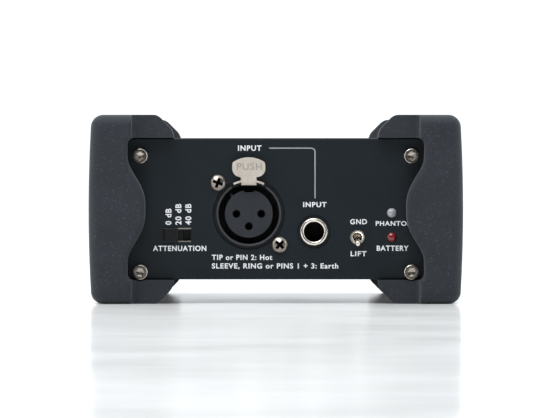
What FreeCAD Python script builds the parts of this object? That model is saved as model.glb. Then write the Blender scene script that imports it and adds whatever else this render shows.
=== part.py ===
"""Active direct injection box: an aluminium sleeve closed by two panels, with four rubber corner
bumpers, a combined pair of inputs on the front and a balanced output, link jack and battery
drawer on the rear. Millimetres; +Z is up, the front panel faces -Y, and the origin lies on the
ground under the middle of the box."""
import FreeCAD, Part
import math
import os

os.makedirs("parts", exist_ok=True)
Vec = FreeCAD.Vector

# How far a cutting shape reaches past the face it opens, so that no skin is left (mm)
over = 1.0

# How close an edge or a middle must lie to a place to be taken as being there (mm)
near = 0.01

# ------------------------------------------------------------------ driving dimensions (mm)
# Housing sleeve and panels
housing_width = 108.0
housing_height = 47.1
sleeve_length = 130.0
sleeve_wall = 2.0
sleeve_edge_round = 1.2
panel_thickness = 2.0
panel_edge_round = 0.5

# Corner screws of both panels
screw_side_inset = 8.9
screw_low_inset = 2.5
screw_high_inset = 6.0
cap_head_radius = 2.5
cap_head_height = 3.0
cap_hex_across_flats = 2.5
cap_hex_depth = 1.7
cap_head_bevel = 0.3
cap_thread_radius = 1.45
cap_screw_length = 10.0
boss_wall = 1.5
thread_fit = 0.05
panel_hole_clearance = 0.25
washer_thickness = 0.8
washer_radius = 2.4
washer_bore_clearance = 0.15
washer_split = 0.5
washer_split_angle = 60.0
cap_screw_turn = 17.0

# Rubber corner bumpers
bumper_side = 8.2
bumper_over = 7.7
bumper_under = 8.0
bumper_proud = 8.0
bumper_bow = 1.0
bumper_depth = 42.0
bumper_corner_round = 4.2
bumper_face_round = 4.0
bumper_fit = 0.1
arm_reach = 28.2
arm_straight = 15.0
arm_end_chamfer = 5.4
arm_end_round = 5.5
arm_top_round = 3.0
arm_setback = 4.5
tail_width = 11.0
pad_reach = 14.4
pad_edge_round = 1.5
lip_throat = 12.9
lip_belly = 18.8
lip_corner_round = 2.2
lip_half_height = 17.5
lip_flat_half = 1.5
lip_throat_pull = 0.62
lip_belly_pull = 0.94
lip_edge_round = 1.6
scoop_radius = 3.0

# Heights above the housing's underside, and places across, of what is on the front panel
xlr_in_x = -9.0
xlr_height = 21.9
jack_in_x = 12.7
jack_height = 15.9
attenuator_x = -32.8
attenuator_height = 14.8
lift_x = 27.2
lift_height = 14.1
led_x = 38.6
phantom_height = 22.2
battery_led_height = 14.1

# Places across of what is on the rear panel
xlr_out_x = 28.0
jack_out_x = 5.5
drawer_x = -22.0
drawer_height = 20.0

# Three-pole connectors
xlr_cutout_radius = 12.0
xlr_collar_fit = 0.2
xlr_collar_setback = 1.0
xlr_rim_radius = 10.85
xlr_rim_proud = 0.3
xlr_rim_bevel = 0.2
xlr_socket_radius = 10.1
xlr_plug_cavity_radius = 9.6
xlr_channel_depth = 14.5
xlr_floor_thickness = 3.5
xlr_barrel_radius = 12.6
xlr_flange_half = 14.0
xlr_flange_thickness = 2.4
xlr_flange_round = 3.0
xlr_screw_offset = 10.3
xlr_back_wall = 2.0
insert_radius = 7.95
insert_setback = 0.3
insert_fit = 0.05
insert_notch_width = 3.2
insert_notch_depth = 0.8
insert_key_angle = 133.0
insert_key_size = 0.8
pole_circle_radius = 4.15
pole_hole_radius = 1.35
pole_hole_depth = 13.0
sleeve_contact_wall = 0.25
sleeve_contact_setback = 3.0
pin_radius = 1.2
pin_setback = 2.2
pin_tip_round = 0.72
pin_key_width = 2.2
pin_key_height = 1.2
pin_key_fit = 0.1
pan_head_radius = 2.75
pan_head_side = 0.5
pan_head_height = 1.9
pan_cross_width = 0.8
pan_cross_reach = 1.7
pan_cross_depth = 1.2
pan_thread_radius = 1.3
pan_screw_length = 7.0
pan_screw_turns = {-1: -5.0, 1: 45.0}

# Push latch of the input connector
latch_thickness = 0.7
latch_radius = 10.75
latch_neck_width = 5.1
latch_head_width = 11.0
latch_head_bottom = 12.2
latch_head_top = 18.8
latch_head_gap = 1.9
latch_head_round_share = 0.86
latch_slot_side = 0.3
latch_slot_top = 13.3
latch_slot_end_gap = 0.6
latch_ear_angle = 27.0
latch_ear_depth = 0.8
latch_ear_gap = 0.25
latch_rim_gap_angle = 33.0
latch_pivot_depth = 9.0
latch_pivot_height = 11.65
latch_pin_radius = 0.6
latch_pin_fit = 0.05
latch_eye_radius = 1.2
latch_pin_grip = 0.9
latch_hook_depth = 6.0
latch_hook_drop = 0.6
latch_spring_thickness = 0.25
latch_spring_width = 3.4
latch_spring_gap = 0.35
latch_spring_foot = 4.0

# Quarter-inch jacks
jack_bore_radius = 3.285
jack_ferrule_radius = 4.6
jack_ferrule_proud = 0.9
jack_ferrule_length = 9.5
jack_ferrule_lip = 0.35
jack_collar_radius = 5.3
jack_collar_fit = 0.2
jack_collar_setback = 0.2
jack_body_half_width = 7.0
jack_body_half_height = 6.5
jack_body_depth = 26.0
jack_cavity_radius = 3.7
jack_back_wall = 1.5
jack_body_round = 0.8
jack_spring_thickness = 0.4
jack_spring_width = 2.2
jack_spring_bump = 0.9
jack_spring_fit = 0.05
jack_spring_inset = 0.2
jack_lead_overlap = 1.0
jack_spring_first = 14.0
jack_spring_pitch = 5.0

# Three-position attenuator switch
window_width = 9.1
window_height = 4.7
knob_width = 4.6
knob_height = 4.5
knob_proud = 1.1
knob_end_gap = 0.15
knob_grooves = 5
knob_groove_width = 0.4
knob_groove_depth = 0.35
knob_edge_round = 0.3
knob_slide_gap = 0.1
knob_neck_height = 3.6
knob_neck_width = 4.0
knob_foot_width = 7.5
knob_foot_height = 6.0
knob_foot_thickness = 1.4
switch_frame_thickness = 0.6
switch_frame_width = 19.0
switch_frame_height = 8.0
switch_frame_window_height = 3.9
switch_frame_side_width = 15.0
switch_base_depth = 4.0
switch_terminal_pitch = 4.0
terminal_stub = 1.0

# Ground-lift toggle
toggle_bushing_radius = 2.25
toggle_bushing_proud = 1.0
toggle_bore_radius = 1.55
toggle_ball_clearance = 0.08
toggle_mouth_bevel = 0.3
toggle_pivot_behind = 0.5
toggle_pin_radius = 0.4
toggle_pin_reach = 1.9
toggle_pin_fit = 0.06
toggle_lever_length = 10.1
toggle_lever_root_radius = 0.7
toggle_lever_tip_radius = 0.95
toggle_tail_radius = 0.55
toggle_tail_length = 3.2
toggle_half_throw = 12.5
toggle_plate_radius = 3.9
toggle_plate_thickness = 0.8
toggle_body_width = 5.4
toggle_body_height = 8.4
toggle_body_depth = 7.0
toggle_hole_clearance = 0.2
toggle_terminal_pitch = 1.92
toggle_well_clearance = 0.5

# Indicator lamps
led_radius = 1.55
led_nose_height = 0.9
led_rim_radius = 1.95
led_rim_thickness = 1.0
led_body_depth = 4.6
led_proud = 0.2
led_hole_clearance = 0.12
led_lead_pitch = 2.03
led_lead_reach = {"phantom_led": 3.0, "battery_led": 1.0}

# Circuit board and the parts on it
board_height = 5.9
board_thickness = 1.6
board_end_gap = 5.0
board_side_gap = 0.5
rail_reach = 1.6
rail_thickness = 1.0
rail_gap = 0.2
lead_size = 0.5
lead_hole_width = 0.8
lead_poke = 1.2
transformer_x = 29.0
transformer_y = 6.0
transformer_width = 24.0
transformer_length = 20.0
transformer_height = 19.0
transformer_stack = 10.0
transformer_window = 4.5
transformer_leg = 6.0
bobbin_wall = 0.8
transformer_pin_share = 0.8
transformer_pin_inset = 1.0
capacitor_radius = 3.15
capacitor_height = 11.0
capacitor_groove = 0.25
capacitor_groove_low = 1.2
capacitor_groove_high = 2.0
capacitor_spots = [(-42, -30), (-42, -20), (-42, -8), (-33, -8)]
film_width = 7.2
film_thickness = 3.5
film_height = 8.0
film_edge_round = 0.7
film_spots = [(-30, -30), (-30, -20), (14, -20), (14, -10)]
chip_length = 9.4
chip_width = 6.4
chip_height = 3.3
chip_standoff = 0.5
chip_pitch = 2.54
chip_pins_per_side = 4
chip_dimple_radius = 0.8
chip_spots = [(-15, -20), (1, -20)]
resistor_radius = 0.9
resistor_end_radius = 1.15
resistor_length = 6.3
resistor_pitch = 4.2
resistor_end_length = 1.4
resistor_wire = 1.0
resistor_count = 6
resistor_first_x = -15.0
resistor_row_y = -8.0

# Battery and its drawer
battery_width = 26.5
battery_thickness = 17.5
battery_length = 46.0
battery_round = 2.0
battery_play = 0.3
stud_radius = 2.9
stud_height = 2.6
stud_pitch = 12.7
stud_socket_extra = 0.8
contact_tail = 1.0
drawer_wall = 1.2
drawer_fit = 0.3
drawer_front_gap = 0.2
drawer_front_thickness = 2.6
drawer_front_margin = 3.2
drawer_front_round = 2.5
drawer_grip_depth = 2.2
drawer_grip_width = 20.0
drawer_grip_height = 3.0
battery_box_wall = 1.2
contact_blade_thickness = 0.4
contact_blade_width = 5.0
contact_blade_gap = 0.15

# ------------------------------------------------------------------ places worked out from them
base_z = bumper_under
top_z = base_z + housing_height
overall_height = top_z + bumper_over
overall_width = housing_width + 2 * bumper_side
overall_depth = sleeve_length + 2 * panel_thickness + 2 * bumper_proud
half_depth = overall_depth / 2
half_sleeve = sleeve_length / 2
half_housing = housing_width / 2
half_width = overall_width / 2
panel_face_y = -half_depth + bumper_proud
board_top = base_z + board_height + board_thickness
board_bottom = base_z + board_height
inner_half = half_housing - sleeve_wall
screw_x = half_housing - screw_side_inset
screw_spots = [
    (side * screw_x, height)
    for side in (-1, 1)
    for height in (base_z + screw_low_inset, top_z - screw_high_inset)
]
tap_radius = cap_thread_radius + thread_fit
t = panel_thickness


# ------------------------------------------------------------------ shape helpers
def box(x0, x1, y0, y1, z0, z1):
    return Part.makeBox(x1 - x0, y1 - y0, z1 - z0, Vec(x0, y0, z0))


def rod(x, z, radius, y0, y1):
    """Round bar along Y."""
    return Part.makeCylinder(radius, y1 - y0, Vec(x, y0, z), Vec(0, 1, 0))


def post(x, y, radius, z0, z1):
    """Round bar along Z."""
    return Part.makeCylinder(radius, z1 - z0, Vec(x, y, z0), Vec(0, 0, 1))


def tube(x, z, outer, inner, y0, y1):
    return rod(x, z, outer, y0, y1).cut(rod(x, z, inner, y0, y1))


def cone(x, z, radius0, radius1, y0, y1):
    return Part.makeCone(radius0, radius1, y1 - y0, Vec(x, y0, z), Vec(0, 1, 0))


def edges_along(shape, direction):
    """Straight edges of a shape that run along a direction."""
    found = []
    for edge in shape.Edges:
        run = edge.lastVertex().Point - edge.firstVertex().Point
        if run.Length > 0 and run.cross(direction).Length < 1e-6 * run.Length:
            found.append(edge)
    return found


def edges_at(shape, wanted):
    """Edges of a changed shape whose middles lie where the wanted edges' middles were."""
    middles = [edge.CenterOfMass for edge in wanted]
    return [edge for edge in shape.Edges
            if any((edge.CenterOfMass - middle).Length < near for middle in middles)]


def rounded_block(x0, x1, y0, y1, z0, z1, radius, direction=Vec(0, 1, 0)):
    block = box(x0, x1, y0, y1, z0, z1)
    return block.makeFillet(radius, edges_along(block, direction))


def prism(points, direction):
    """Solid from a closed outline of points, pushed along a direction."""
    wire = Part.makePolygon(points + [points[0]])
    return Part.Face(wire).extrude(direction)


def seat(shape, x, z, side):
    """Move a piece made at the origin of a panel's outer face to its place on that panel."""
    placed = shape.copy()
    if side == "rear":
        placed.rotate(Vec(0, 0, 0), Vec(0, 0, 1), 180)
        placed.translate(Vec(x, -panel_face_y, z))
    else:
        placed.translate(Vec(x, panel_face_y, z))
    return placed


lead_spots = []


def leg(x, y, z_from, centre_x, centre_z, side):
    """Solder lead from a height on a connector down through the board; the hole is noted."""
    sign = -1 if side == "rear" else 1
    origin_y = -panel_face_y if side == "rear" else panel_face_y
    lead_spots.append((centre_x + sign * x, origin_y + sign * y))
    half = lead_size / 2
    low = board_bottom - lead_poke - centre_z
    return box(x - half, x + half, y - half, y + half, low, z_from)


def save(name, *shapes):
    solids = [solid for shape in shapes for solid in shape.Solids]
    model = solids[0] if len(solids) == 1 else Part.makeCompound(solids)
    model.exportStep("parts/" + name + ".step")


# ------------------------------------------------------------------ sleeve
def make_sleeve():
    """Extruded aluminium sleeve with screw bosses in its corners and rails for the board."""
    outer = rounded_block(-half_housing, half_housing, -half_sleeve, half_sleeve,
                          base_z, top_z, sleeve_edge_round)
    hollow = box(-inner_half, inner_half, -half_sleeve, half_sleeve,
                 base_z + sleeve_wall, top_z - sleeve_wall)
    sleeve = outer.cut(hollow)
    boss_radius = tap_radius + boss_wall
    for x, z in screw_spots:
        low_side = z < (base_z + top_z) / 2
        wall_z = base_z if low_side else top_z
        boss = rod(x, z, boss_radius, -half_sleeve, half_sleeve)
        web = box(x - boss_radius / 2, x + boss_radius / 2, -half_sleeve, half_sleeve,
                  min(z, wall_z), max(z, wall_z))
        boss = boss.fuse(web).common(outer)
        sleeve = sleeve.fuse(boss)
    for side in (-1, 1):
        wall_x = side * (inner_half + sleeve_wall / 2)
        rail_x = side * (inner_half - rail_reach)
        for low in (board_bottom - rail_gap / 2 - rail_thickness, board_top + rail_gap / 2):
            rail = box(min(wall_x, rail_x), max(wall_x, rail_x), -half_sleeve, half_sleeve,
                       low, low + rail_thickness)
            sleeve = sleeve.fuse(rail)
    for x, z in screw_spots:
        sleeve = sleeve.cut(rod(x, z, tap_radius, -half_sleeve, half_sleeve))
    return sleeve.removeSplitter()


# ------------------------------------------------------------------ panels
def blank_panel():
    """Flat panel at the origin of its outer face, with its four screw holes."""
    panel = box(-half_housing, half_housing, 0, t, base_z, top_z)
    face_edges = [edge for edge in panel.Edges if edge.BoundBox.YMax < near]
    panel = panel.makeFillet(panel_edge_round, face_edges)
    hole = cap_thread_radius + panel_hole_clearance
    for x, z in screw_spots:
        panel = panel.cut(rod(x, z, hole, -over, t + over))
    return panel


def xlr_opening(x, z, latch):
    cut = rod(x, z, xlr_cutout_radius, -over, t + over)
    hole = pan_thread_radius + panel_hole_clearance
    for sign in (-1, 1):
        spot_x = x + sign * xlr_screw_offset
        spot_z = z - sign * xlr_screw_offset
        cut = cut.fuse(rod(spot_x, spot_z, hole, -over, t + over))
    if latch:
        half = latch_neck_width / 2 + latch_slot_side
        cut = cut.fuse(box(x - half, x + half, -over, t + over, z, z + latch_slot_top))
    return cut


def make_front_panel():
    panel = blank_panel()
    panel = panel.cut(xlr_opening(xlr_in_x, base_z + xlr_height, True))
    jack_hole = jack_collar_radius + jack_collar_fit
    panel = panel.cut(rod(jack_in_x, base_z + jack_height, jack_hole, -over, t + over))
    lift_hole = toggle_bushing_radius + toggle_hole_clearance
    panel = panel.cut(rod(lift_x, base_z + lift_height, lift_hole, -over, t + over))
    for height in (phantom_height, battery_led_height):
        led_hole = led_radius + led_hole_clearance
        panel = panel.cut(rod(led_x, base_z + height, led_hole, -over, t + over))
    z = base_z + attenuator_height
    window = box(attenuator_x - window_width / 2, attenuator_x + window_width / 2, -over, t + over,
                 z - window_height / 2, z + window_height / 2)
    panel = panel.cut(window)
    panel.translate(Vec(0, panel_face_y, 0))
    return panel


def make_rear_panel():
    """The rear panel is made facing -Y and turned round, so its places across are mirrored."""
    panel = blank_panel()
    panel = panel.cut(xlr_opening(-xlr_out_x, base_z + xlr_height, False))
    jack_hole = jack_collar_radius + jack_collar_fit
    panel = panel.cut(rod(-jack_out_x, base_z + jack_height, jack_hole, -over, t + over))
    half_w = drawer_outer_width / 2 + drawer_fit
    half_h = drawer_outer_height / 2 + drawer_fit
    z = base_z + drawer_height
    panel = panel.cut(box(-drawer_x - half_w, -drawer_x + half_w, -over, t + over,
                          z - half_h, z + half_h))
    return seat(panel, 0, 0, "rear")


# ------------------------------------------------------------------ screws and washers
def make_cap_screw():
    """Socket cap screw with its washer seat at y = 0 - washer, driven along +Y."""
    under_head = -washer_thickness
    head = rod(0, 0, cap_head_radius, under_head - cap_head_height, under_head)
    front_edges = [edge for edge in head.Edges
                   if edge.BoundBox.YMax < under_head - cap_head_height + near]
    head = head.makeChamfer(cap_head_bevel, front_edges)
    corner = cap_hex_across_flats / math.sqrt(3)
    front = under_head - cap_head_height
    corners = [
        Vec(corner * math.cos(math.radians(60 * i)), front, corner * math.sin(math.radians(60 * i)))
        for i in range(6)
    ]
    socket = prism(corners, Vec(0, cap_hex_depth, 0))
    shank = rod(0, 0, cap_thread_radius, under_head, under_head + cap_screw_length)
    return head.cut(socket).fuse(shank)


def make_washer():
    """Split spring washer."""
    ring = tube(0, 0, washer_radius, cap_thread_radius + washer_bore_clearance,
                -washer_thickness, 0)
    split = box(0, washer_radius + over, -washer_thickness - over, over,
                -washer_split / 2, washer_split / 2)
    split.rotate(Vec(0, 0, 0), Vec(0, 1, 0), -washer_split_angle)
    return ring.cut(split)


def make_pan_screw():
    """Cross-recessed pan-head screw with its head on y = 0, driven along +Y."""
    dome = pan_head_height - pan_head_side
    ball_radius = (pan_head_radius ** 2 + dome ** 2) / (2 * dome)
    ball = Part.makeSphere(ball_radius, Vec(0, ball_radius - pan_head_height, 0))
    head = ball.common(rod(0, 0, pan_head_radius, -pan_head_height - over, 0))
    w = pan_cross_width / 2
    recess = box(-pan_cross_reach, pan_cross_reach, -pan_head_height - over,
                 pan_cross_depth - pan_head_height, -w, w)
    recess = recess.fuse(box(-w, w, -pan_head_height - over,
                             pan_cross_depth - pan_head_height, -pan_cross_reach, pan_cross_reach))
    return head.cut(recess).fuse(rod(0, 0, pan_thread_radius, 0, pan_screw_length))


# ------------------------------------------------------------------ corner bumpers
def bumper_outline():
    """Front view of the front left bumper's block: bowed side, and arm ends cut at 45 degrees."""
    left = -half_width
    right = left + arm_reach
    c = arm_end_chamfer
    top = overall_height
    low_left = Vec(left + bumper_bow, -half_depth, 0)
    high_left = Vec(left + bumper_bow, -half_depth, top)
    bow = Part.Arc(low_left, Vec(left, -half_depth, top / 2), high_left).toShape()
    points = [
        high_left,
        Vec(right - c, -half_depth, top),
        Vec(right, -half_depth, top - c),
        Vec(right, -half_depth, c),
        Vec(right - c, -half_depth, 0),
        low_left,
    ]
    lines = [Part.LineSegment(a, b).toShape() for a, b in zip(points, points[1:])]
    return Part.Face(Part.Wire([bow] + lines))


def bumper_lip_cut():
    """What the front flange leaves open over the panel: square corners at the screws, and a wave
    between them, so that the flange is widest at half height."""
    left = -half_width
    y0 = -half_depth - over
    mid = overall_height / 2
    throat = left + lip_throat
    belly = left + lip_belly
    right = left + arm_reach + over
    high = top_z + bumper_fit
    low = base_z - bumper_fit
    r = lip_corner_round
    handle = (lip_half_height - lip_flat_half) / 2

    def wave(sign):
        curve = Part.BezierCurve()
        curve.setPoles([
            Vec(throat, y0, mid + sign * lip_half_height),
            Vec(throat, y0, mid + sign * (lip_half_height - handle * lip_throat_pull)),
            Vec(belly, y0, mid + sign * (lip_flat_half + handle * lip_belly_pull)),
            Vec(belly, y0, mid + sign * lip_flat_half),
        ])
        return curve.toShape()

    def corner(edge_z, sign):
        start = Vec(throat + r, y0, edge_z)
        end = Vec(throat, y0, edge_z - sign * r)
        bend = r * (1 - math.sqrt(0.5))
        return Part.Arc(start, Vec(throat + bend, y0, edge_z - sign * bend), end).toShape()

    def line(x0, z0, x1, z1):
        return Part.LineSegment(Vec(x0, y0, z0), Vec(x1, y0, z1)).toShape()

    edges = [
        line(right, high, throat + r, high),
        corner(high, 1),
        line(throat, high - r, throat, mid + lip_half_height),
        wave(1),
        line(belly, mid + lip_flat_half, belly, mid - lip_flat_half),
        wave(-1),
        line(throat, mid - lip_half_height, throat, low + r),
        corner(low, -over),
        line(throat + r, low, right, low),
        line(right, low, right, high),
    ]
    wire = Part.Wire(Part.__sortEdges__(edges))
    return Part.Face(wire).extrude(Vec(0, bumper_proud + over, 0))


def lip_limit():
    """Room that the bumper may fill: a front layer opened over the panel, its edge rounded, and
    all that lies behind that layer."""
    left = -half_width
    right = left + arm_reach
    front = -half_depth
    layer = box(left - over, right, front, panel_face_y, -over,
                overall_height + over)
    layer = layer.cut(bumper_lip_cut())
    lip = [edge for edge in layer.Edges
           if edge.BoundBox.YMax < front + near and edge.BoundBox.XMin > left + lip_throat - near
           and edge.BoundBox.ZMin > 0 and edge.BoundBox.ZMax < overall_height
           and edge.BoundBox.XMin < right - near]
    layer = layer.makeFillet(lip_edge_round, lip)
    behind = box(left - over, right + over, panel_face_y, front + bumper_depth, -over,
                 overall_height + over)
    return layer.fuse(behind)


def arm_setback_cut():
    """What lies in front of the arms: seen from above, the pad ends in a rounded step."""
    left = -half_width
    front = -half_depth
    r = pad_edge_round
    step_x = left + pad_reach
    deep = front + arm_setback
    bend = r * math.sqrt(0.5)
    z0 = -over
    crest = Part.Arc(Vec(step_x - r, front, z0), Vec(step_x - r + bend, front + r - bend, z0),
                     Vec(step_x, front + r, z0)).toShape()
    foot = Part.Arc(Vec(step_x, deep - r, z0), Vec(step_x + r - bend, deep - r + bend, z0),
                    Vec(step_x + r, deep, z0)).toShape()
    corners = [
        Vec(step_x + r, deep, z0),
        Vec(left + arm_reach + over, deep, z0),
        Vec(left + arm_reach + over, front - over, z0),
        Vec(step_x - r, front - over, z0),
        Vec(step_x - r, front, z0),
    ]
    lines = [Part.LineSegment(a, b).toShape() for a, b in zip(corners, corners[1:])]
    wall = Part.LineSegment(Vec(step_x, front + r, z0), Vec(step_x, deep - r, z0)).toShape()
    outline = Part.Face(Part.Wire(Part.__sortEdges__([crest, wall, foot] + lines)))
    middle = overall_height / 2 - z0
    lower = outline.extrude(Vec(0, 0, base_z + lip_corner_round - z0))
    upper = outline.extrude(Vec(0, 0, middle))
    upper.translate(Vec(0, 0, top_z - lip_corner_round - z0))
    return lower.fuse(upper)


def make_bumper():
    """Front left bumper. The others are its mirror images."""
    left = -half_width
    front = -half_depth
    right = left + arm_reach
    block = bumper_outline().extrude(Vec(0, bumper_depth, 0))
    runs = edges_along(block, Vec(0, 1, 0))
    corners = [edge for edge in runs if edge.BoundBox.XMax < left + bumper_bow + near]
    ends = [edge for edge in runs if edge.BoundBox.XMax > right - near]
    tops = [edge for edge in runs if abs(edge.BoundBox.XMax - right + arm_end_chamfer) < near]
    block = block.makeFillet(bumper_corner_round, corners)
    block = block.makeFillet(arm_end_round, edges_at(block, ends))
    block = block.makeFillet(arm_top_round, edges_at(block, tops))
    limit = right - arm_end_chamfer - arm_top_round
    rim = [edge for edge in block.Edges
           if edge.BoundBox.YMax < front + near and edge.BoundBox.XMin < limit
           and edge.BoundBox.XMax < limit + arm_top_round]
    block = block.makeFillet(bumper_face_round, rim)

    block = block.common(lip_limit()).cut(arm_setback_cut())

    # Seen from above, the arms end square at the front and run back to the side wall at an angle.
    plan = [
        Vec(left - over, front - over, -over),
        Vec(right, front - over, -over),
        Vec(right, front + arm_straight, -over),
        Vec(left + tail_width, front + bumper_depth, -over),
        Vec(left - over, front + bumper_depth, -over),
    ]
    block = block.common(prism(plan, Vec(0, 0, overall_height + 2 * over)))
    housing = box(-half_housing - bumper_fit, half_housing, panel_face_y - bumper_fit, half_depth,
                  base_z - bumper_fit, top_z + bumper_fit)
    block = block.cut(housing)
    low_screw_z = base_z + screw_low_inset
    block = block.cut(rod(-screw_x, low_screw_z, scoop_radius, front - over, panel_face_y))
    return block.removeSplitter()


def mirrored(shape, x_side, y_side):
    result = shape
    if x_side:
        result = result.mirror(Vec(0, 0, 0), Vec(1, 0, 0))
    if y_side:
        result = result.mirror(Vec(0, 0, 0), Vec(0, 1, 0))
    return result


# ------------------------------------------------------------------ three-pole connectors
def latch_slot(depth):
    half = latch_neck_width / 2 + latch_slot_side
    return box(-half, half, -over, depth, xlr_socket_radius - latch_hook_drop, latch_slot_top)


def angle_wedge(half_angle, radius, y0, y1):
    """Solid sector about +Z, used to open the rim behind the latch's ears."""
    a = math.radians(half_angle)
    points = [Vec(0, y0, 0), Vec(-radius * math.sin(a), y0, radius * math.cos(a)),
              Vec(radius * math.sin(a), y0, radius * math.cos(a))]
    return prism(points, Vec(0, y1 - y0, 0))


def xlr_body(cavity_radius):
    """Moulded shell: rim and collar in the panel's hole, square flange behind it, round barrel."""
    collar = rod(0, 0, xlr_cutout_radius - xlr_collar_fit, xlr_collar_setback, t)
    rim = rod(0, 0, xlr_rim_radius, -xlr_rim_proud, t)
    rim = rim.cut(rod(0, 0, cavity_radius, -over, t))
    rim_edges = [edge for edge in rim.Edges if edge.BoundBox.YMax < 0]
    rim = rim.makeChamfer(xlr_rim_bevel, rim_edges)
    flange = rounded_block(-xlr_flange_half, xlr_flange_half, t, t + xlr_flange_thickness,
                           -xlr_flange_half, xlr_flange_half, xlr_flange_round)
    back = xlr_channel_depth + xlr_floor_thickness + xlr_back_wall
    barrel = rod(0, 0, xlr_barrel_radius, t, back)
    shell = collar.fuse(rim).fuse(flange).fuse(barrel)
    shell = shell.cut(rod(0, 0, cavity_radius, -over, xlr_channel_depth + xlr_floor_thickness))
    for sign in (-1, 1):
        hole = rod(sign * xlr_screw_offset, -sign * xlr_screw_offset,
                   pan_thread_radius + thread_fit, t - over, t + xlr_flange_thickness + over)
        relief = rod(sign * xlr_screw_offset, -sign * xlr_screw_offset,
                     pan_thread_radius + panel_hole_clearance, t + xlr_flange_thickness, back)
        shell = shell.cut(hole).cut(relief)
    return shell


def pole_spots():
    """Contact 1 and 2 lie left and right of the middle, and contact 3 below it."""
    return [(-pole_circle_radius, 0), (pole_circle_radius, 0), (0, -pole_circle_radius)]


def make_input_xlr():
    side = "front"
    x = xlr_in_x
    z = base_z + xlr_height
    back = xlr_channel_depth + xlr_floor_thickness + xlr_back_wall
    shell = xlr_body(xlr_socket_radius)
    shell = shell.cut(latch_slot(latch_pivot_depth + latch_eye_radius + latch_slot_end_gap))
    rim_gap = angle_wedge(latch_rim_gap_angle, xlr_barrel_radius + 2 * over, -over,
                          xlr_collar_setback)
    shell = shell.cut(rim_gap)
    pin_half = latch_neck_width / 2 + latch_slot_side + latch_pin_grip
    pin_hole = Part.makeCylinder(latch_pin_radius, 2 * pin_half,
                                 Vec(-pin_half, latch_pivot_depth, latch_pivot_height), Vec(1, 0, 0))
    shell = shell.cut(pin_hole)

    floor = xlr_channel_depth
    insert = rod(0, 0, insert_radius, insert_setback, floor)
    notch = box(-insert_notch_width / 2, insert_notch_width / 2, -over, floor,
                insert_radius - insert_notch_depth, insert_radius + over)
    key = box(-insert_key_size / 2, insert_key_size / 2, insert_setback + insert_key_size, floor,
              insert_radius - insert_key_size, insert_radius + insert_key_size)
    key.rotate(Vec(0, 0, 0), Vec(0, 1, 0), -(insert_key_angle - 90))
    base = rod(0, 0, xlr_socket_radius - insert_fit, floor, floor + xlr_floor_thickness)
    insert = insert.cut(notch).fuse(key).fuse(base)
    contacts = []
    for px, pz in pole_spots():
        insert = insert.cut(rod(px, pz, pole_hole_radius, -over, pole_hole_depth))
        tail = lead_size
        tail_hole = rod(px, pz, tail, pole_hole_depth - over, back + over)
        insert = insert.cut(tail_hole)
        shell = shell.cut(tail_hole)
        socket = tube(px, pz, pole_hole_radius - insert_fit,
                      pole_hole_radius - insert_fit - sleeve_contact_wall,
                      insert_setback + sleeve_contact_setback, pole_hole_depth - tail)
        slit = box(px - tail / 4, px + tail / 4, insert_setback, pole_hole_depth / 2,
                   pz, pz + pole_hole_radius)
        socket = socket.cut(slit)
        cap = rod(px, pz, pole_hole_radius - insert_fit, pole_hole_depth - tail, pole_hole_depth)
        stem = rod(px, pz, lead_size - insert_fit, pole_hole_depth, back + tail)
        down = leg(px, back + tail, pz, x, z, side)
        contacts.append(socket.fuse(cap).fuse(stem).fuse(down))

    save("input_xlr_shell", seat(shell, x, z, side))
    save("input_xlr_insert", seat(insert, x, z, side))
    save("input_xlr_contacts", *[seat(contact, x, z, side) for contact in contacts])
    pin = Part.makeCylinder(latch_pin_radius, 2 * pin_half,
                            Vec(-pin_half, latch_pivot_depth, latch_pivot_height), Vec(1, 0, 0))
    save("input_xlr_latch_pin", seat(pin, x, z, side))
    save("input_xlr_latch", seat(make_latch(), x, z, side))
    save("input_xlr_latch_spring", seat(make_latch_spring(), x, z, side))
    save_pan_screws("input_xlr_screws", x, z, side)


def make_latch():
    """Stamped push tab: an oval head in front of the panel, a curved arm through the slot with a
    hook for the plug, two ears on the rim, and an eye on the pivot pin."""
    outer = latch_radius + latch_thickness
    front = -latch_head_gap - latch_thickness
    arm = tube(0, 0, outer, latch_radius, front, latch_pivot_depth)
    half = latch_neck_width / 2
    arm = arm.common(box(-half, half, front, latch_pivot_depth, 0, outer + over))
    ears = tube(0, 0, outer, latch_radius, -latch_ear_gap - latch_ear_depth, -latch_ear_gap)
    ears = ears.common(angle_wedge(latch_ear_angle, 2 * outer, front, 0))

    mid = (latch_head_bottom + latch_head_top) / 2
    half_w = latch_head_width / 2
    half_h = (latch_head_top - latch_head_bottom) / 2
    head = box(-half_w, half_w, front, front + latch_thickness, mid - half_h, mid + half_h)
    head = head.makeFillet(half_h * latch_head_round_share, edges_along(head, Vec(0, 1, 0)))
    crown = half_w * half_w / half_h
    dome = rod(0, mid + half_h - crown, crown, front, front + latch_thickness)
    head = head.common(dome)
    neck = box(-half, half, front, front + latch_thickness, latch_radius + latch_thickness / 2,
               mid - half_h / 2)
    hook = box(-half, half, latch_hook_depth, latch_hook_depth + latch_thickness,
               xlr_socket_radius - latch_hook_drop, latch_radius + latch_thickness / 2)
    eye = Part.makeCylinder(latch_eye_radius, latch_neck_width,
                            Vec(-half, latch_pivot_depth, latch_pivot_height), Vec(1, 0, 0))
    latch = arm.fuse(ears).fuse(head).fuse(neck).fuse(hook).fuse(eye)
    bore = Part.makeCylinder(latch_pin_radius + latch_pin_fit, latch_neck_width + 2 * over,
                             Vec(-half - over, latch_pivot_depth, latch_pivot_height), Vec(1, 0, 0))
    return latch.cut(bore).removeSplitter()


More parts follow.
